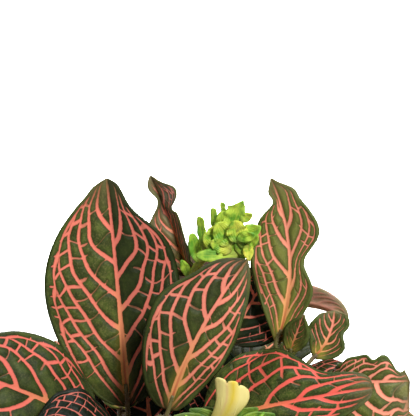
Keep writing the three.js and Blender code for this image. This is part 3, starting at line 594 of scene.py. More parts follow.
def hairs(line, radii, count, rng):
    """Short fine hairs on a tube: each is a three-sided point that stands out at a random place and leans
    a little along the stem."""
    at = rng.integers(0, len(line), count)
    way = unit(np.gradient(line, axis=0))[at]
    out = rng.normal(size=(count, 3))
    out = unit(out - (out * way).sum(-1, keepdims=True) * way)
    foot = line[at] + out * np.asarray(radii)[at, None] * HAIR_ROOT
    foot = foot + way * rng.uniform(-0.5, 0.5, (count, 1)) * np.linalg.norm(line[1] - line[0])
    length = rng.uniform(*HAIR_LENGTH, (count, 1))
    tip = foot + length * unit(out + HAIR_LEAN * way + rng.normal(size=(count, 3)) * HAIR_SCATTER)
    angle = 2 * np.pi * np.arange(3) / 3
    side = np.cross(way, out)
    ring = way[:, None] * np.cos(angle)[:, None] + side[:, None] * np.sin(angle)[:, None]
    base = foot[:, None] + HAIR_RADIUS * ring
    points = np.concatenate([base, tip[:, None]], axis=1).reshape(-1, 3)
    corner = np.array([(0, 1, 3), (1, 2, 3), (2, 0, 3), (0, 2, 1)])
    return points, (corner + 4 * np.arange(count)[:, None, None]).reshape(-1, 3)


def length_of(line):
    """A line's length."""
    return np.linalg.norm(np.diff(line, axis=0), axis=1).sum()


def along_stem(line, share):
    """The place at a share of a line's length."""
    at = share * (len(line) - 1)
    return np.array([np.interp(at, np.arange(len(line)), line[:, k]) for k in range(3)])


def midrib(leaf, s):
    """A blade's midrib at s from 0 to 1: places, directions, normals and ways to the right. The chord from
    base to tip is pushed towards the face by bow 4s(1 - s) + hook s^4 and to the right by bend 4s(1 - s),
    and the normal turns about it by twist (s - 1/2)."""
    base = np.asarray(leaf["base"], float)
    chord = np.asarray(leaf["tip"], float) - base
    ahead = unit(chord)
    face = np.asarray(leaf["face"], float)
    face = unit(face - (face @ ahead) * ahead)
    side = np.cross(ahead, face)
    s = np.asarray(s, float)[..., None]
    arch, arch_rate = 4 * s * (1 - s), 4 - 8 * s
    place = base + chord * s + face * (leaf["bow"] * arch + leaf["hook"] * s ** 4)
    place = place + side * leaf["bend"] * arch
    rate = chord + face * (leaf["bow"] * arch_rate + 4 * leaf["hook"] * s ** 3)
    direction = unit(rate + side * leaf["bend"] * arch_rate)
    flat = unit(face - (direction @ face)[..., None] * direction)
    across = np.cross(direction, flat)
    turn = np.radians(leaf["twist"] * (s - 0.5))
    normal = flat * np.cos(turn) + across * np.sin(turn)
    right = across * np.cos(turn) - flat * np.sin(turn)
    return place, direction, normal, right


def joint_share(stem, leaf):
    """How far along a stem a leaf's stalk leaves it, as a share of the stem's length with its rooted end."""
    rooted = ROOTED_DEPTH / length_of(stem)
    return rooted + (LAST_JOINT - rooted) * leaf["node"]


def stalk_line(stem, leaf):
    """A leaf stalk: from its joint on the stem, by way of a place behind the blade where it is long, to a
    little way under the blade."""
    joint = along_stem(stem, joint_share(stem, leaf))
    places, directions, _, _ = midrib(leaf, [0, STALK_ENDS_AT])
    reach = np.linalg.norm(joint - places[0])
    lead = [places[0] - STALK_LEAD * reach * directions[0]] if reach > SHORT_STALK else []
    return smooth_line([joint, *lead, places[0], places[1]], STALK_STEPS)


def living_stem(node, place):
    """Living stem: soft green that turns tan and brown in streaks along it, with a slight gloss."""
    streak = node("TexNoise", node("Mapping", place, Scale=(1.0, 1.0, 0.22)), 1 / 0.0014, 3.0)
    tan = node("MapRange", node("TexNoise", place, 1 / 0.012, 2.0), 0.38, 0.62)
    brown = node("MapRange", streak, 0.5, 0.72, 0.0, 0.6)
    colour = node("Mix", tan, STEM_GREEN, STEM_TAN, data_type="RGBA")
    colour = node("Mix", brown, colour, STEM_DARK, data_type="RGBA")
    return colour, node("Bump", Strength=0.5, Distance=0.0003, Height=streak)


def white_plant_hair(node, place):
    """Dry white plant hair: thin, matt and a little cloudy."""
    cloud = node("TexNoise", place, 1 / 0.002)
    return node("Mix", cloud, HAIR_CREAM, HAIR_WHITE, data_type="RGBA"), None


stem_skin = new_material(living_stem, 0.55)
dry_hair = new_material(white_plant_hair, 0.7)
shoot_leaves = {name: [leaf for leaf in LEAVES.values() if leaf["shoot"] == name] for name in SHOOTS}
for index, (shoot_name, ((root_x, root_y), *path)) in enumerate(SHOOTS.items()):
    rooted_end = [(root_x, root_y, soil_level - ROOTED_DEPTH), (root_x, root_y, soil_level)]
    stem = smooth_line([*rooted_end, *path], STEM_STEPS)
    leaves = shoot_leaves[shoot_name]
    share = np.linspace(0, 1, len(stem))
    stem_radii = STEM_RADIUS + (STEM_TIP_RADIUS - STEM_RADIUS) * share
    for leaf in leaves:
        swelling = JOINT_SWELLING * np.exp(-((share - joint_share(stem, leaf)) / JOINT_LENGTH) ** 2)
        stem_radii = np.maximum(stem_radii, STEM_TIP_RADIUS * (1 + swelling))
    tubes = [tube(stem, stem_radii, STEM_SIDES)]
    rng = np.random.default_rng(HAIR_SEED + index)
    open_air = stem[:, 2] > soil_level + 1
    tufts = [hairs(stem[open_air], stem_radii[open_air], int(HAIRS_PER_MM * length_of(stem[open_air])), rng)]
    for leaf in leaves:
        stalk = stalk_line(stem, leaf)
        stalk_radii = np.linspace(STALK_RADIUS, STALK_END_RADIUS, len(stalk))
        tubes.append(tube(stalk, stalk_radii, STALK_SIDES))
        tufts.append(hairs(stalk, stalk_radii, int(HAIRS_PER_MM * length_of(stalk) / 2), rng))
    shoot = f"shoot_{shoot_name}"
    add_piece(f"stem_{shoot_name}", *joined(tubes), [stem_skin], "foliage", shoot)
    add_piece(f"stem_hairs_{shoot_name}", *joined(tufts), [dry_hair], "foliage", shoot)
    if shoot_name in SPIKE_BEARERS:
        continue
    tip = along_stem(stem, YOUNG_AT)
    for turn in (0, 180):
        out = np.array(polar(YOUNG_TURN * index + turn, 1, 0))
        end = tip + YOUNG_REACH * out + np.array([0, 0, YOUNG_RISE])
        leaves.append(blade(shoot_name, 1, tip, end, YOUNG_WIDTH, face=-out, bow=-1, wave=0.2, light=0.5))


# The leaves: oval blades of dark green living tissue, with a net of coral-red veins in fine grooves.
# Each grew in one piece: side veins bend away from its thick midrib and run on to one long vein near the
# edge, cross veins tie them together, and short veins run out from the long one. The rim is plain green.
BLADE_THICKNESS = 0.8
LEAST_HALF_WIDTH = 0.45
FOLD_STARTS_BY = 0.12
CURL_SECTIONS = 6
WAVE_SHIFT = 0.21
TOOTH_DEPTH = 0.16
QUILT_WIDTH = 2.0
QUILT_ENDS = 0.4
QUILT_AT_MIDRIB = 0.9
RIB_WIDTH = 0.9
RIB_TAPER = 0.7
GROOVE_SHARE = 0.4
FLAT_RIM = 0.15
SIDE_RIM = 8
END_RIM = 16
HALVES_BLEND = 0.08
VEIN_BEND = (0.28, 0.08)
VEIN_SLOPE = 1.15
VEIN_START = 0.05
LAST_VEIN_AT = 0.88
VEIN_SPACING = 11.3
VEIN_SHARES = (0.14, 0.18)
OFFSET_RIGHT = 0.43
CROSS_SPACING = 6.0
RUNG_SPACING = 4.3
CROSS_SHARE = 0.17
RUNG_SHARE = 0.14
LOOP_AT = 0.845
FIRST_ROW = -1.45
CURVE_REACH = 1.5
CURVE_SAMPLES = 600
WARP_WAVES = 5
WARP_GAIN = 1.6
WARP_LENGTH = (9, 22)
WARP_ROWS = 0.14
WARP_STEPS = 1.3
# Seeds and keys, which keep the random draws of shoots, blades and a blade's two halves apart.
SHOOT_SEEDS = 40
OWN_NETS = 97
ROW_KEY = 20
RUNG_KEY = 50
HALF_KEY = 17.3
LEAF_DARK = "#222D11"
LEAF_MID = "#4A5822"
LEAF_PALE = "#7C7F3C"
# Painted shade: the blue-dark green laid on blades, or halves of blades, that stand in shade.
LEAF_PAINTED_SHADE_GREEN = "#0A1508"
LEAF_DUSTY = "#A37C66"
LEAF_RIM = "#3D4D22"
LEAF_FLECK = "#8C8450"
# Painted shade: the dark brown of a blade's foot and of shaded undersides.
LEAF_PAINTED_SHADE_BROWN = "#2E2216"
LEAF_TIP = "#7A6448"
VEIN_CORAL = "#E09076"
VEIN_RED = "#DD5248"
# Painted shade: the darker red along each vein's edges.
VEIN_EDGE_SHADE = "#C25C4A"
VEIN_FAINT = "#7E603C"
# Painted shade: the dull red of veins on blades in shade.
VEIN_PAINTED_SHADE = "#9C5048"
VEIN_RIM = "#9A4C3A"
VEIN_PEACH = "#DDA75C"
VEIN_LINE = "#A2442C"
VEIN_FLANK = "#A7A040"
UNDER_PINK = "#B89080"
UNDER_GREEN = "#948C68"
UNDER_VEIN = "#D29C88"


def half_width(leaf, s, v):
    """A blade's half-width at s along the midrib, on the side of v: sin(pi s^widest) to a power that goes
    from the base's fullness to the tip's sharpness, less any pinch, which is a bell curve along s, and any
    teeth, which rise evenly along s and drop back."""
    power = leaf["base_full"] + (leaf["tip_sharp"] - leaf["base_full"]) * s
    wide = 0.5 * leaf["width"] * np.sin(np.pi * s ** leaf["widest"]).clip(0) ** power
    wide = wide * np.where(v < 0, leaf["halves"][0], leaf["halves"][1])
    for side, place, depth, spread in leaf["pinch"]:
        wide = wide * (1 - depth * np.exp(-((s - place) / spread) ** 2) * (v * side > 0))
    wide = wide * (1 - TOOTH_DEPTH * (s * leaf["teeth"] % 1))
    return np.maximum(wide, LEAST_HALF_WIDTH)


def blade_surface(leaf, s, v):
    """A blade's middle surface at s along the midrib and v across it, from -1 to 1. Each half leaves the
    midrib at its fold angle, which changes by its curl out to the edge, and the edge waves by
    wave v^2 sin(2 pi ripples s). Returns points, normals and distances from the midrib."""
    place, _, normal, right = midrib(leaf, s)
    wide = half_width(leaf, s, v)
    side = np.where(v < 0, -1.0, 1.0)
    out = np.abs(v)
    fold = np.where(v < 0, leaf["fold"][0], leaf["fold"][1])
    curl = np.where(v < 0, leaf["curl"][0], leaf["curl"][1])
    ease = np.minimum(1, s / FOLD_STARTS_BY)
    part = (np.arange(CURL_SECTIONS) + 0.5) / CURL_SECTIONS
    slope = np.radians(fold[..., None] + (curl * out)[..., None] * part) * ease[..., None]
    across = (np.cos(slope) * (out * wide)[..., None]).mean(-1)
    height = (np.sin(slope) * (out * wide)[..., None]).mean(-1)
    turns = leaf["ripples"] * s + leaf["phase"] + WAVE_SHIFT * side
    height = height + leaf["wave"] * out ** 2 * np.sin(np.pi * s).clip(0) ** 0.5 * np.sin(2 * np.pi * turns)
    edge = np.radians(fold + curl * out) * ease
    points = place + right * (side * across)[..., None] + normal * height[..., None]
    facing = normal * np.cos(edge)[..., None] - right * (side * np.sin(edge))[..., None]
    return points, facing, side * out * wide


def warp(x, y, rng):
    """A smooth random value from -1 to 1 over a blade: a mean of sine waves in random directions."""
    length = rng.uniform(*WARP_LENGTH, WARP_WAVES)
    way = rng.uniform(0, np.pi, WARP_WAVES)
    start = rng.uniform(0, 2 * np.pi, WARP_WAVES)
    place = x[..., None] * np.cos(way) + y[..., None] * np.sin(way)
    return np.sin(2 * np.pi * place / length + start).mean(-1) * WARP_GAIN


def vein_places(leaf, s, v, x, rng):
    """Where each point lies in the net of veins. A side vein bends away from the midrib and then runs on
    almost straight to the edge: with d as how far along the blade it has come, and t from 0 at the midrib to
    1 at the edge, t = bend (1 - exp(-d / length)) + slope d. The row is the side veins' number there, the
    step counts the cross veins along them, and the rung counts the short veins at the edge. Also gives the
    side veins' spacing there in mm."""
    length = np.linalg.norm(np.subtract(leaf["tip"], leaf["base"]))
    share = np.clip(VEIN_SPACING / length, *VEIN_SHARES)
    t = np.abs(v)
    y = length * s
    wide = np.abs(x) / np.maximum(t, 1e-6)
    wide = np.where(t < 1e-3, half_width(leaf, s, v), wide)
    bend, bend_length = VEIN_BEND
    come = np.linspace(0, CURVE_REACH, CURVE_SAMPLES)
    come = np.interp(t, bend * (1 - np.exp(-come / bend_length)) + VEIN_SLOPE * come, come)
    row = (s - come - VEIN_START) / share
    slope = 1 / (bend / bend_length * np.exp(-come / bend_length) + VEIN_SLOPE)
    spacing = share / np.hypot(1 / length, slope / np.maximum(wide, 2.0))
    reach = leaf["width"] / 2
    step = y + np.abs(x) - x ** 2 / (2 * reach)
    row = row + WARP_ROWS * warp(x, y, rng) * np.minimum(1, 3 * t)
    last = np.floor((LAST_VEIN_AT - VEIN_START) / share) + 0.5
    row = np.clip(row, FIRST_ROW - OFFSET_RIGHT * (x > 0), last - OFFSET_RIGHT * (x > 0))
    step = (step + WARP_STEPS * warp(x, y, rng)) / min(CROSS_SPACING, CROSS_SHARE * leaf["width"])
    rung = (y + WARP_STEPS * warp(x, y, rng)) / min(RUNG_SPACING, RUNG_SHARE * leaf["width"])
    return row, step, rung, spacing


def rim_round(s, v):
    """How thick a sheet is at s along it and v across it, from 1 inside to 0 at its rim, which ends like an
    ellipse: sqrt(1 - |v|^8) sqrt(1 - |2s - 1|^16)."""
    sides = np.sqrt(np.clip(1 - np.abs(v) ** SIDE_RIM, 0, 1))
    return sides * np.sqrt(np.clip(1 - np.abs(2 * s - 1) ** END_RIM, 0, 1))


def closed_sheet(top, bottom, values):
    """Two grids of points as one closed sheet that share the upper grid's rim: points, faces, each face's
    side (0 above, 1 below), and the values of each point, which both grids have alike."""
    rows, columns = top.shape[:2]
    number = np.arange(rows * columns).reshape(rows, columns)
    under = number.copy()
    under[1:-1, 1:-1] = rows * columns + np.arange((rows - 2) * (columns - 2)).reshape(rows - 2, -1)
    corners = [(g[:-1, :-1], g[:-1, 1:], g[1:, 1:], g[1:, :-1]) for g in (number, under)]
    quads = [np.stack(four, axis=-1).reshape(-1, 4) for four in corners]
    points = np.vstack([top.reshape(-1, 3), bottom[1:-1, 1:-1].reshape(-1, 3)])
    values = {name: np.vstack([a.reshape(-1, 3), a[1:-1, 1:-1].reshape(-1, 3)]) for name, a in values.items()}
    return points, [*quads[0], *quads[1][:, ::-1]], [0] * len(quads[0]) + [1] * len(quads[1]), values


def blade_mesh(leaf, seed):
    """A blade as two grids that share their rim. The upper face bulges by up to the quilt's height between
    the side veins, with the rib's groove along its middle, and the lower face follows it, with the midrib
    standing out under it. Both faces come together at the rim in an ellipse's end."""
    rng = np.random.default_rng(seed)
    length = np.linalg.norm(np.subtract(leaf["tip"], leaf["base"]))
    rows = max(12, round(length / leaf["grid"]))
    columns = 2 * max(6, round(leaf["width"] / leaf["grid"] / 2)) + 1
    s, v = np.meshgrid(np.linspace(0, 1, rows), np.linspace(-1, 1, columns), indexing="ij")
    points, facing, x = blade_surface(leaf, s, v)
    row, step, rung, spacing = vein_places(leaf, s, v, x, rng)
    side_row = row + OFFSET_RIGHT * (x > 0)
    to_vein = (0.5 - np.abs(side_row - np.floor(side_row) - 0.5)) * spacing
    to_vein = np.minimum(to_vein, np.abs(x) * QUILT_AT_MIDRIB)
    inner = np.clip((1 - np.abs(v)) / FLAT_RIM, 0, 1) * np.sin(np.pi * s) ** QUILT_ENDS
    bulge = leaf["quilt"] * (1 - np.exp(-(to_vein / QUILT_WIDTH) ** 2)) * inner
    groove = GROOVE_SHARE * leaf["rib"] * np.exp(-(x / RIB_WIDTH) ** 2) * (1 - s)
    rib = leaf["rib"] * np.exp(-(x / RIB_WIDTH) ** 2) * (1 - RIB_TAPER * s)
    rim = rim_round(s, v)
    half = BLADE_THICKNESS / 2 * rim
    top = points + facing * (half + bulge - groove * rim)[..., None]
    bottom = points - facing * (half - bulge + rib * rim)[..., None]
    own = seed % OWN_NETS
    right_share = 0.5 + 0.5 * np.tanh(v / HALVES_BLEND)
    dusk, dusty = (left + (right - left) * right_share for left, right in (leaf["dusk"], leaf["dusty"]))
    values = {
        "vein_place": (row + ROW_KEY * own, step, spacing),
        "blade_place": (x, s, np.abs(v)),
        "leaf_kind": (rung + RUNG_KEY * own, leaf["light"] + 0 * s, leaf["red"] + 0 * s),
        "leaf_tone_and_shade": (leaf["thin"] + 0 * s, dusk, dusty),
    }
    values = {name: np.stack(parts, axis=-1) for name, parts in values.items()}
    return closed_sheet(top, bottom, values)


def add_blades(name, leaves, seed, materials, slot, node):
    """Makes blades as one piece. Where there are two materials, the second is for the lower sides."""
    meshes = [blade_mesh(leaf, seed + k) for k, leaf in enumerate(leaves)]
    sides = np.concatenate([side for _, _, side, _ in meshes]) if len(materials) > 1 else None
    values = {key: np.vstack([mesh[3][key] for mesh in meshes]) for key in meshes[0][3]}
    points, faces = joined([mesh[:2] for mesh in meshes])
    add_piece(name, points, faces, materials, slot, node, face_material=sides, values=values)


def mesh_values(node, *names):
    """The three sockets of each named value of the mesh's points."""
    vectors = [node("Attribute", attribute_name=name).outputs["Vector"] for name in names]
    return [node("SeparateXYZ", vector).outputs for vector in vectors]


def vein_net(node, place):
    """The net of veins. edge is the distance in mm to the nearest vein's edge, below 0 inside a vein, clear
    is how distinct that vein is, from 0 to 1, and margin is about how far in from the blade's edge the place
    is, in mm. The others are the distance to the midrib, the place along the blade, its own tones, and how
    much painted shade lies on it."""
    names = ("vein_place", "blade_place", "leaf_kind", "leaf_tone_and_shade")
    (row, step, spacing), (x, s, t), (rung, light, red), (thin, dusk, dusty) = mesh_values(node, *names)
    from_mid = node("ABSOLUTE", x)
    is_right = node("GREATER_THAN", x, 0.0)
    half_key = node("MULTIPLY", is_right, HALF_KEY)
    reach = node("DIVIDE", node("ADD", from_mid, 0.2), node("ADD", t, 0.02))
    margin = node("MULTIPLY", reach, node("SUBTRACT", 1.0, t))
    narrow = node("MapRange", reach, 4.0, 9.0, 1.3, 0.0)
    narrow = node("ADD", narrow, node("MapRange", s, 0.08, 0.24, 0.8, 0.0))

    # The side veins: they lie at whole row numbers, thin out, and end at the long vein near the edge.
    row = node("MULTIPLY_ADD", is_right, OFFSET_RIGHT, row)
    strip = node("FLOOR", row)
    share = node("FRACT", row)
    off_middle = node("SUBTRACT", share, 0.5)
    to_side = node("MULTIPLY", node("SUBTRACT", 0.5, node("ABSOLUTE", off_middle)), spacing)
    side_half = node("MapRange", t, 0.0, 0.8, 0.74, 0.38)
    side_half = node("MINIMUM", side_half, node("MULTIPLY", spacing, 0.14))
    arch = node("SINE", node("MULTIPLY", share, math.pi))
    loop_at = node("MULTIPLY_ADD", arch, 0.03, LOOP_AT)
    past = node("MapRange", node("SUBTRACT", t, loop_at), -0.03, 0.03, 0.0, 2.2)
    side_edge = node("ADD", node("SUBTRACT", to_side, side_half), past)

    # The long vein that joins the side veins' ends and bulges a little outwards between them.
    beyond = node("MULTIPLY", node("SUBTRACT", 1.0, node("DIVIDE", loop_at, t)), from_mid)
    loop_edge = node("ADD", node("SUBTRACT", node("ABSOLUTE", beyond), 0.4), narrow)

    # The short veins from the long one out to the rim, one in each cell at a random place.
    rung_key = node("CombineXYZ", node("FLOOR", rung), 5.5, half_key)
    rung_draw = node("SeparateColor", node("TexWhiteNoise", rung_key).outputs["Color"]).outputs
    rung_at = node("MapRange", rung_draw[0], 0.0, 1.0, 0.3, 0.7)
    off_rung = node("SUBTRACT", node("FRACT", rung), rung_at)
    to_rung = node("ABSOLUTE", node("MULTIPLY", off_rung, RUNG_SPACING))
    to_rung = node("ADD", to_rung, node("MAXIMUM", node("MULTIPLY", beyond, -3.0), 0.0))
    to_rung = node("ADD", to_rung, node("MapRange", margin, 0.9, 2.2, 1.0, 0.0))
    rung_half = node("MapRange", rung_draw[1], 0.1, 0.8, 0.16, 0.38)
    rung_edge = node("ADD", node("SUBTRACT", to_rung, rung_half), narrow)

    # The cross veins between the side veins: one in each cell, slanting, some cut short, few near the midrib.
    shift = node("TexWhiteNoise", node("CombineXYZ", strip, 3.3, half_key)).outputs["Value"]
    step = node("ADD", step, shift)
    cell_key = node("CombineXYZ", strip, node("FLOOR", step), half_key)
    draw = node("SeparateColor", node("TexWhiteNoise", cell_key).outputs["Color"]).outputs
    centre = node("MapRange", draw[0], 0.0, 1.0, 0.3, 0.7)
    slant = node("MapRange", draw[1], 0.0, 1.0, -0.35, 0.35)
    line = node("MULTIPLY_ADD", off_middle, slant, centre)
    off_line = node("ABSOLUTE", node("SUBTRACT", node("FRACT", step), line))
    off_line = node("MULTIPLY", off_line, CROSS_SPACING)
    ends_at = node("MapRange", draw[2], 0.08, 0.34, 0.3, 1.05)
    ends_at = node("ADD", ends_at, node("MapRange", t, 0.4, 0.55))
    past_end = node("MAXIMUM", node("SUBTRACT", share, ends_at), 0.0)
    to_cross = node("MULTIPLY_ADD", node("MULTIPLY", past_end, spacing), 2.5, off_line)
    left_out = node("GREATER_THAN", draw[0], 0.4)
    to_cross = node("MULTIPLY_ADD", node("MapRange", t, 0.26, 0.44, 2.0, 0.0), left_out, to_cross)
    to_cross = node("ADD", to_cross, past)
    thinned = node("MapRange", draw[1], 0.0, 0.5, 0.5, 1.0)
    cross_half = node("MULTIPLY", node("MapRange", t, 0.1, 0.55, 0.2, 0.5), thinned)
    cross_edge = node("ADD", node("SUBTRACT", to_cross, cross_half), narrow)
    distinct = node("MULTIPLY", node("MapRange", t, 0.25, 0.6, 0.05, 1.0), thinned)

    # The midrib, and all the veins together, with rounded corners, ragged edges and a rim left plain.
    mid_half = node("ADD", node("MapRange", s, 0.0, 1.0, 0.9, 0.4), node("MapRange", s, 0.0, 0.4, 0.8, 0.0))
    mid_half = node("MINIMUM", mid_half, node("MULTIPLY", spacing, 0.2))
    mid_edge = node("SUBTRACT", from_mid, mid_half)
    main = node("SMOOTH_MIN", side_edge, loop_edge, 0.2)
    main = node("SMOOTH_MIN", main, rung_edge, 0.3)
    main = node("SMOOTH_MIN", main, mid_edge, 0.8)
    edge = node("SMOOTH_MIN", main, cross_edge, 0.4)
    ragged = node("MapRange", node("TexNoise", place, 1 / 0.0013, 2.0), 0.2, 0.8, -0.13, 0.13)
    for more in (node("MapRange", margin, 0.5, 1.7, 1.6, 0.0), ragged, thin):
        edge = node("ADD", edge, more)
    clear = node("MAXIMUM", node("MapRange", main, 0.1, 0.8, 1.0, 0.0), distinct)
    return SimpleNamespace(edge=edge, clear=clear, from_mid=from_mid, s=s, margin=margin, light=light,
                           red=red, dusk=dusk, dusty=dusty)


def nerve_plant_leaf(node, place):
    """The upper side of a living leaf: a satin skin over dark green, mottled tissue, with coral veins that
    are paler in their middle, where painted shade darkens their edges, and painted shade in the green beside
    them.
    The midrib is yellow-edged towards the base, with a brown-red line along it, and painted shade turns the
    foot of the blade dark brown. Blades with painted shade turn blue-dark, with dimmer veins."""
    net = vein_net(node, place)
    grain = node("TexNoise", place, 1 / 0.0006, 2.0)
    low = node("MapRange", net.s, 0.04, 0.42, 1.0, 0.0)

    # The veins, from their plain colour on.
    # Painted shade along each vein's edges leaves its middle paler, like a highlight.
    shade = node("MapRange", net.edge, -0.35, 0.05, 0.0, 0.6)
    faint = node("SUBTRACT", 1.0, net.clear)
    peach = node("MapRange", net.from_mid, 1.0, 3.0, 1.0, 0.0)
    peach = node("MULTIPLY", peach, node("MapRange", net.s, 0.05, 0.6, 1.0, 0.0))
    thread = node("MULTIPLY", node("MapRange", net.from_mid, 0.25, 0.6, 0.9, 0.0), low)
    thread = node("MULTIPLY", thread, node("MapRange", net.dusty, 0.0, 0.15, 1.0, 0.1))
    # Painted shade: veins on a blade with painted shade are dimmed.
    painted_vein_shade = node("MULTIPLY", net.dusk, 0.7)
    outer = node("MapRange", net.margin, 0.8, 2.6, 0.6, 0.0)
    tip = node("MapRange", net.s, 0.86, 0.99, 0.0, 0.85)
    vein = VEIN_CORAL
    for amount, tone in ((net.red, VEIN_RED), (shade, VEIN_EDGE_SHADE), (faint, VEIN_FAINT), (peach, VEIN_PEACH),
                         (thread, VEIN_LINE), (painted_vein_shade, VEIN_PAINTED_SHADE), (outer, VEIN_RIM), (tip, LEAF_RIM)):
        vein = node("Mix", amount, vein, tone, data_type="RGBA")

    # The skin, from its plain green on, with the veins and the painted shade of the brown foot last.
    mottle = node("MapRange", node("TexNoise", place, 1 / 0.004, 4.0), 0.35, 0.65)
    # Flecks and the pale rim fade where the blade carries painted shade.
    outside_painted_shade = node("MapRange", net.dusk, 0.0, 1.0, 1.0, 0.2)
    fleck = node("MULTIPLY", node("MapRange", grain, 0.45, 0.7, 0.0, 0.3), outside_painted_shade)
    rim = node("MULTIPLY", node("MapRange", net.margin, 0.3, 2.6, 0.7, 0.0), outside_painted_shade)
    # Painted shade in the green beside each vein, as in the groove that the vein lies in.
    beside = node("MapRange", net.edge, 0.1, 1.5, 0.6, 0.0)
    brown = node("MapRange", net.s, 0.82, 1.0, 0.0, 0.35)
    flank = node("MULTIPLY", node("MapRange", net.from_mid, 1.4, 3.4, 0.6, 0.0), low)
    inside = node("MapRange", net.edge, -0.08, 0.16, 1.0, 0.0, interpolation_type="SMOOTHSTEP")
    inside = node("MULTIPLY", inside, node("MapRange", net.clear, 0.0, 0.7, 0.4, 1.0))
    # Painted shade: the foot of the blade, deep among the stems, goes dark brown.
    foot = node("MapRange", net.s, 0.02, 0.13, 0.85, 0.0)
    foot = node("MULTIPLY", foot, node("MapRange", net.from_mid, 1.5, 5.0, 1.0, 0.2))
    colour = LEAF_DARK
    for amount, tone in ((mottle, LEAF_MID), (net.light, LEAF_PALE), (net.dusty, LEAF_DUSTY),
                         (fleck, LEAF_FLECK), (rim, LEAF_RIM), (beside, LEAF_DARK), (brown, LEAF_TIP),
                         (flank, VEIN_FLANK), (net.dusk, LEAF_PAINTED_SHADE_GREEN), (inside, vein), (foot, LEAF_PAINTED_SHADE_BROWN)):
        colour = node("Mix", amount, colour, tone, data_type="RGBA")
    skin = node("MULTIPLY_ADD", grain, 0.12, node("MapRange", net.edge, -0.3, 1.3))
    return colour, node("Bump", Strength=0.7, Distance=0.0005, Height=skin)


def nerve_plant_underside(node, place):
    """The lower side of the leaf: duller, dusty pink over grey-green, with the same veins standing out, and
    dark brown painted shade where the blade carries painted shade.
    """
    net = vein_net(node, place)
    mottle = node("MapRange", node("TexNoise", place, 1 / 0.005, 4.0), 0.35, 0.65)
    inside = node("MapRange", net.edge, -0.1, 0.3, 0.85, 0.0, interpolation_type="SMOOTHSTEP")
    ridge = node("MapRange", net.edge, -0.4, 0.6, 1.0, 0.0)
    # Painted shade of the blade darkens the lower side to dark brown.
    colour = UNDER_GREEN
    for amount, tone in ((mottle, UNDER_PINK), (inside, UNDER_VEIN), (net.dusk, LEAF_PAINTED_SHADE_BROWN)):
        colour = node("Mix", amount, colour, tone, data_type="RGBA")
    return colour, node("Bump", Strength=0.6, Distance=0.0004, Height=ridge)


upper_skin = new_material(nerve_plant_leaf, 0.5, gloss=0.12)
lower_skin = new_material(nerve_plant_underside, 0.6, gloss=0.2)
for index, (shoot_name, leaves) in enumerate(shoot_leaves.items()):
    add_blades(f"leaves_{shoot_name}", leaves, SHOOT_SEEDS * index + 1, [upper_skin, lower_skin], "foliage",
               f"shoot_{shoot_name}")


# The flower spikes: short leafy spikes of soft lime-green bracts on a fleshy green axis.
# The tall one leans out behind the middle leaf, and the low one carries the open flower.
SPIKE_LINES = {
    "flower_spike_tall": [(1.1, 8.9, 166.5), (3.6, 8.4, 173.6), (8.9, 6.5, 180.2), (15.5, 4, 187.1),
                          (18.6, 3, 190.6)],
    "flower_spike_low": [(13.6, -42.6, 121.5), (13.4, -42.9, 129), (13.1, -43.3, 137)],
}
SPIKE_RADIUS = 1.6
SPIKE_TIP_RADIUS = 0.9
SPIKE_STEPS = 20
SPIKE_SIDES = 12
FIRST_BRACT_SEED = 9
SPIKE_SEEDS = 60
BRACT = {
    **BLADE, "face": (0, -1, 0.2), "fold": (14, 14), "curl": (-14, -14), "wave": 0.35, "base_full": 0.5,
    "tip_sharp": 0.8, "bow": -1, "light": 0.3, "grid": 0.5, "quilt": 0.12, "rib": 0.3,
}


def bract(base, tip, width, **shape):
    """A bract, which is a small plain blade, with its base, its tip and its width."""
    return {**BRACT, "base": base, "tip": tip, "width": width, **shape}


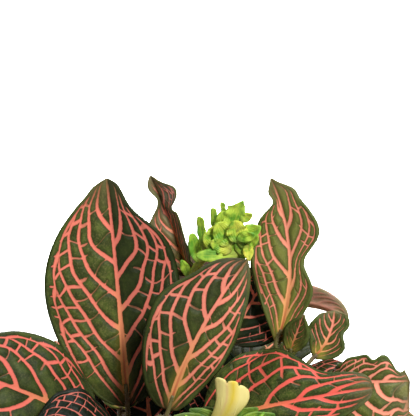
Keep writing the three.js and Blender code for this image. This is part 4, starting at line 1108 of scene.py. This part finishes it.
TALL_BRACTS = {
    "oval": bract((4.6, 7, 175.8), (2.1, 8, 186.2), 4.6, face=(0.2, -0.9, 0.3), tip_sharp=0.4, light=0.1),
    "finger_1": bract((6.6, 7, 180.6), (5, 6, 192.9), 3.3, face=(-0.3, -0.9, 0), base_full=0.2,
        tip_sharp=0.16, bend=-0.6),
    "finger_2": bract((10.2, 6, 185), (9.4, 5.5, 196.2), 2.7, face=(-0.3, -0.9, 0), base_full=0.2,
        tip_sharp=0.16, bend=-0.4),
    "finger_3": bract((13.9, 5, 189.6), (12.3, 4.5, 198.6), 2.2, face=(-0.3, -0.9, 0), base_full=0.2,
        tip_sharp=0.16, bend=-0.4),
    "crown": bract((15, 4, 188), (19.3, 3, 199.5), 8.4, teeth=5, wave=0.7, tip_sharp=1.0, fold=(8, 16),
        halves=(1.15, 0.75), light=0.4),
    "point": bract((18.2, 3.5, 191.9), (22.3, 2.5, 195), 3.4, light=0.7),
    "right": bract((16.8, 3, 186.4), (25.2, 0.5, 191.2), 6.5, face=(-0.3, -0.7, 0.6)),
    "right_low": bract((17.5, 2.5, 183.8), (24.3, 0, 188.4), 7.4, face=(0.2, -0.9, 0.1)),
    "lower_right": bract((16.8, 3, 181.5), (21.8, 1, 185.4), 6.6, light=0.1),
    "level": bract((17.5, 3, 180.1), (3.6, 0, 181.2), 5.2, face=(0, -0.95, 0.3), tip_sharp=0.45,
        fold=(10, 10)),
    "bud": bract((20.7, 1.5, 184.9), (21.3, 0, 179.2), 3.8, light=1.0),
    "leaflet": bract((1.3, 8.6, 170), (-1.5, 8, 176.5), 3.4, light=0.2),
    "centre_1": bract((13.5, 3.5, 182), (6.3, 3.5, 187.6), 7.6, light=0.6, tip_sharp=0.4, wave=0.8),
    "centre_2": bract((15.5, 3, 183.6), (10.6, 2.5, 191.9), 8.4, light=0.5, tip_sharp=0.45, wave=0.9),
    "centre_3": bract((18.2, 2.5, 184.7), (16.2, 1.5, 193.1), 7.8, light=0.8, wave=0.9),
    "centre_4": bract((15.5, 2.5, 181.8), (8.4, 1.8, 185.4), 5.6, light=0.7, wave=0.8, tip_sharp=0.5),
    "centre_5": bract((16.8, 3.5, 179.6), (18.6, 2.5, 187.4), 7),
    "under_1": bract((8.5, 5, 179.4), (20.2, 4, 178.9), 5.4, light=0.0, dusk=(0.4, 0.4)),
    "under_2": bract((14, 5, 181), (22.4, 3.5, 180.2), 5, light=0.1, dusk=(0.2, 0.2)),
    "body_1": bract((12.4, 4.5, 181.8), (9, 4.5, 190), 8, light=0.7, tip_sharp=0.4, wave=0.7),
    "body_2": bract((14.5, 4.5, 184), (12.4, 4.5, 195.4), 8, light=0.5, tip_sharp=0.5, wave=0.7),
    "back_1": bract((6.9, 8, 179.7), (8.9, 12, 183.8), 6, face=(0, 0.7, 0.7)),
    "back_2": bract((9.6, 7.5, 182), (12.9, 11.5, 186.8), 6, face=(0, 0.7, 0.7)),
    "back_3": bract((12.2, 6.5, 184.4), (15.5, 10, 190.9), 6, face=(0, 0.7, 0.7)),
    "back_4": bract((14.9, 6, 186.7), (18.8, 8.5, 193.5), 5.5, face=(0, 0.7, 0.7)),
    "back_5": bract((17.5, 5.5, 184.8), (22.1, 8, 186.7), 5, face=(0, 0.7, 0.7)),
    "back_6": bract((14.2, 6, 181.8), (18.2, 10, 181.1), 5, face=(0, 0.7, 0.7)),
}
LOW_BRACTS = {
    "left_1": bract((11.5, -42.6, 135), (-3.5, -44.5, 143.6), 9, dusk=(0.8, 0.8)),
    "left_2": bract((12, -42, 136), (1.6, -40.5, 144.2), 8, dusk=(0.8, 0.7)),
    "left_3": bract((12.4, -41.8, 136.4), (6.4, -37.5, 143.6), 7, dusk=(0.9, 0.9)),
    "right_1": bract((14.8, -42.8, 135), (29, -44, 144), 9, dusk=(0.55, 0.65)),
    "right_2": bract((14.4, -42, 136), (23.6, -40, 144.4), 8, dusk=(0.6, 0.6)),
}
LOW_PAIRS = 3
LOW_SIZES = {"length": (9.8, 17), "width": (7.2, 9.5), "lean": (72, 50)}
LOW_TURN = 35
BRACT_SPAN = (0.25, 0.98)
BRACT_LIME = "#98C43C"
BRACT_DEEP = "#5C9428"
BRACT_YELLOW = "#D0CE4C"
# Painted shade: brown-green for a bract's foot, and blue-dark for bracts in shade.
BRACT_SHADE = "#6C7030"
BRACT_PAINTED_SHADE = "#35451B"


def pairs_along(line):
    """Bracts in pairs up a spike, each pair a quarter turn from the last. Each goes out from the axis at its
    lean, which like its length and width changes evenly up the spike."""
    axis = unit(line[-1] - line[0])
    side = unit(np.cross(axis, (0, 0, 1)))
    front = np.cross(axis, side)
    bracts = []
    for k in range(LOW_PAIRS):
        share = (k + 0.5) / LOW_PAIRS
        length, width, lean = (a + (b - a) * share for a, b in LOW_SIZES.values())
        turn, lean = math.radians(90 * k + LOW_TURN), math.radians(lean)
        place = along_stem(line, BRACT_SPAN[0] + (BRACT_SPAN[1] - BRACT_SPAN[0]) * share)
        for way in (1, -1):
            out = way * (side * math.cos(turn) + front * math.sin(turn))
            tip = place + length * (axis * math.cos(lean) + out * math.sin(lean))
            bracts.append(bract(place, tip, width, face=axis - out))
    return bracts


def soft_green_bract(node, place):
    """A soft bract: matt lime green, deeper in clouds, yellower where it is young, with painted shade in
    brown-green at its foot and blue-dark painted shade where the bract has it, a paler midrib and faint
    lengthwise streaks."""
    (_, s, t), (_, light, _), (_, dusk, _) = mesh_values(node, "blade_place", "leaf_kind", "leaf_tone_and_shade")
    cloud = node("TexNoise", place, 1 / 0.0035, 3.0)
    deep = node("MapRange", cloud, 0.36, 0.6)
    young = node("MULTIPLY", node("MapRange", cloud, 0.42, 0.62, 0.1, 1.0), light)
    # Painted shade in brown-green at the foot of the bract.
    foot = node("MapRange", s, 0.0, 0.3, 0.7, 0.0)
    middle = node("MapRange", t, 0.02, 0.1, 0.22, 0.0)
    colour = BRACT_DEEP
    for amount, tone in ((deep, BRACT_LIME), (young, BRACT_YELLOW), (foot, BRACT_SHADE),
                         (middle, BRACT_YELLOW), (dusk, BRACT_PAINTED_SHADE)):
        colour = node("Mix", amount, colour, tone, data_type="RGBA")
    relief = node("MULTIPLY_ADD", node("SINE", node("MULTIPLY", t, 30.0)), 0.5, cloud)
    return colour, node("Bump", Strength=0.4, Distance=0.0003, Height=relief)


bract_skin = new_material(soft_green_bract, 0.55, gloss=0.3)
for index, (spike, places) in enumerate(SPIKE_LINES.items()):
    line = smooth_line(places, SPIKE_STEPS)
    radii = np.linspace(SPIKE_RADIUS, SPIKE_TIP_RADIUS, len(line))
    bracts = TALL_BRACTS.values()
    if spike == "flower_spike_low":
        bracts = [*pairs_along(line), *LOW_BRACTS.values()]
    add_piece(f"axis_of_{spike}", *tube(line, radii, SPIKE_SIDES), [bract_skin], "bracts", spike)
    add_blades(f"bracts_of_{spike}", bracts, FIRST_BRACT_SEED + SPIKE_SEEDS * index, [bract_skin], "bracts",
               spike)


# The flower: one soft cream-yellow flower on the low spike. Its short tube opens into a lower lip with three
# rounded lobes, with a golden stripe on the middle one, and a narrow upper lip behind it.
FLOWER_FOOT = (13.1, -43.3, 137.45)
FLOWER_WAY = (0.14, 0, 1)
TUBE_HEIGHT = 7.4
TUBE_SHIFT = (-1.8, 0.9, 0)
TUBE_RADII = (1.1, 1.5)
TUBE_STEPS = 12
TUBE_SIDES = 20
TUBE_TONE = (1.0, 0.3, 0.0)
LIPS = {
    "lower": {"height": 18.8, "foot": 3.2, "top": 5.8, "lobes": 3, "cup": 1.0, "drop": 0.22, "sway": 3.0},
    "upper": {"height": 13.0, "foot": 1.2, "top": 2.85, "lobes": 1, "cup": -1.0, "drop": 0.0, "sway": 0.0},
}
LOBE_DEPTH = 0.075
LOBE_ROUND = 0.45
LOBE_PUFF = 0.2
DROP_FROM = 0.2
LIP_START = 0.4
LIP_SIDES = 1.2
LIP_THICKNESS = 0.7
LIP_GRID = (34, 49)
PETAL_CREAM = "#DCCF84"
PETAL_GOLD = "#CFB52C"
PETAL_PINK = "#CFA078"
PETAL_FOOT = "#A59548"


def lip_mesh(row):
    """A lip as a closed sheet. At s up it and v across it, from -1 to 1, it rises by height s, less where a
    notch, 1 - |cos(lobes pi v / 2)| to a power, parts the lobes. It widens from foot to top with
    s^2 (3 - 2 s), leans to the left by sway (1 - s) cos(pi s), and its middle stands forward of its sides by
    cup (start + s (1 - v^2) - sides v^2). The lobes puff out towards the top, and the right one is lower by
    drop times the height."""
    up = unit(np.array(FLOWER_WAY))
    facing = unit(np.array((0, -1, 0)) + up * up[1])
    right = np.cross(up, facing)
    s, v = np.meshgrid(np.linspace(0, 1, LIP_GRID[0]), np.linspace(-1, 1, LIP_GRID[1]), indexing="ij")
    notch = 1 - np.abs(np.cos(row["lobes"] * np.pi * v / 2)) ** LOBE_ROUND
    rise = row["height"] * s * (1 - LOBE_DEPTH * s * notch - row["drop"] * s * (v - DROP_FROM).clip(0))
    wide = v * (row["foot"] + (row["top"] - row["foot"]) * s ** 2 * (3 - 2 * s))
    wide = wide - row["sway"] * (1 - s) * np.cos(np.pi * s)
    front = row["cup"] * (LIP_START + s * (1 - v ** 2) - LIP_SIDES * v ** 2)
    puff = LOBE_PUFF * s ** 3 * np.cos(row["lobes"] * np.pi * v / 2) ** 2
    place = np.array(FLOWER_FOOT) + rise[..., None] * up + wide[..., None] * right
    place = place + (front + puff)[..., None] * facing
    thick = (LIP_THICKNESS / 2 * rim_round(s, v))[..., None] * facing
    values = {"petal_place": np.stack([v, s, 0 * s], axis=-1)}
    return closed_sheet(place + thick, place - thick, values)


def soft_petal(node, place):
    """A soft petal: matt cream yellow, with a golden stripe up the middle lobe, a breath of pink beside it,
    fine lengthwise veins, and a green-brown foot."""
    [(v, s, _)] = mesh_values(node, "petal_place")
    wander = node("TexNoise", place, 1 / 0.003, 2.0)
    across = node("MULTIPLY_ADD", wander, 0.2, v)
    gold = node("MapRange", node("ABSOLUTE", node("SUBTRACT", across, 0.1)), 0.0, 0.42, 0.9, 0.0)
    pink = node("MapRange", node("ABSOLUTE", node("ADD", across, 0.25)), 0.0, 0.13, 0.5, 0.0)
    foot = node("MapRange", s, 0.25, 0.7, 0.85, 0.0)
    colour = PETAL_CREAM
    for amount, tone in ((gold, PETAL_GOLD), (pink, PETAL_PINK), (foot, PETAL_FOOT)):
        colour = node("Mix", amount, colour, tone, data_type="RGBA")
    relief = node("MULTIPLY_ADD", node("SINE", node("MULTIPLY", v, 40.0)), 0.08, wander)
    return colour, node("Bump", Strength=0.35, Distance=0.0002, Height=relief)


petal_skin = new_material(soft_petal, 0.6, gloss=0.25)
for lip_name, lip_row in LIPS.items():
    lip_points, lip_faces, _, lip_values = lip_mesh(lip_row)
    add_piece(f"flower_{lip_name}_lip", lip_points, lip_faces, [petal_skin], "petals", "flower",
              values=lip_values)
rise = TUBE_HEIGHT * np.linspace(0, 1, TUBE_STEPS)[:, None] * unit(np.array(FLOWER_WAY))
tube_line = np.add(FLOWER_FOOT, TUBE_SHIFT) + rise
tube_points, tube_faces = tube(tube_line, np.linspace(*TUBE_RADII, TUBE_STEPS), TUBE_SIDES)
add_piece("flower_tube", tube_points, tube_faces, [petal_skin], "petals", "flower",
          values={"petal_place": np.tile(TUBE_TONE, (len(tube_points), 1))})
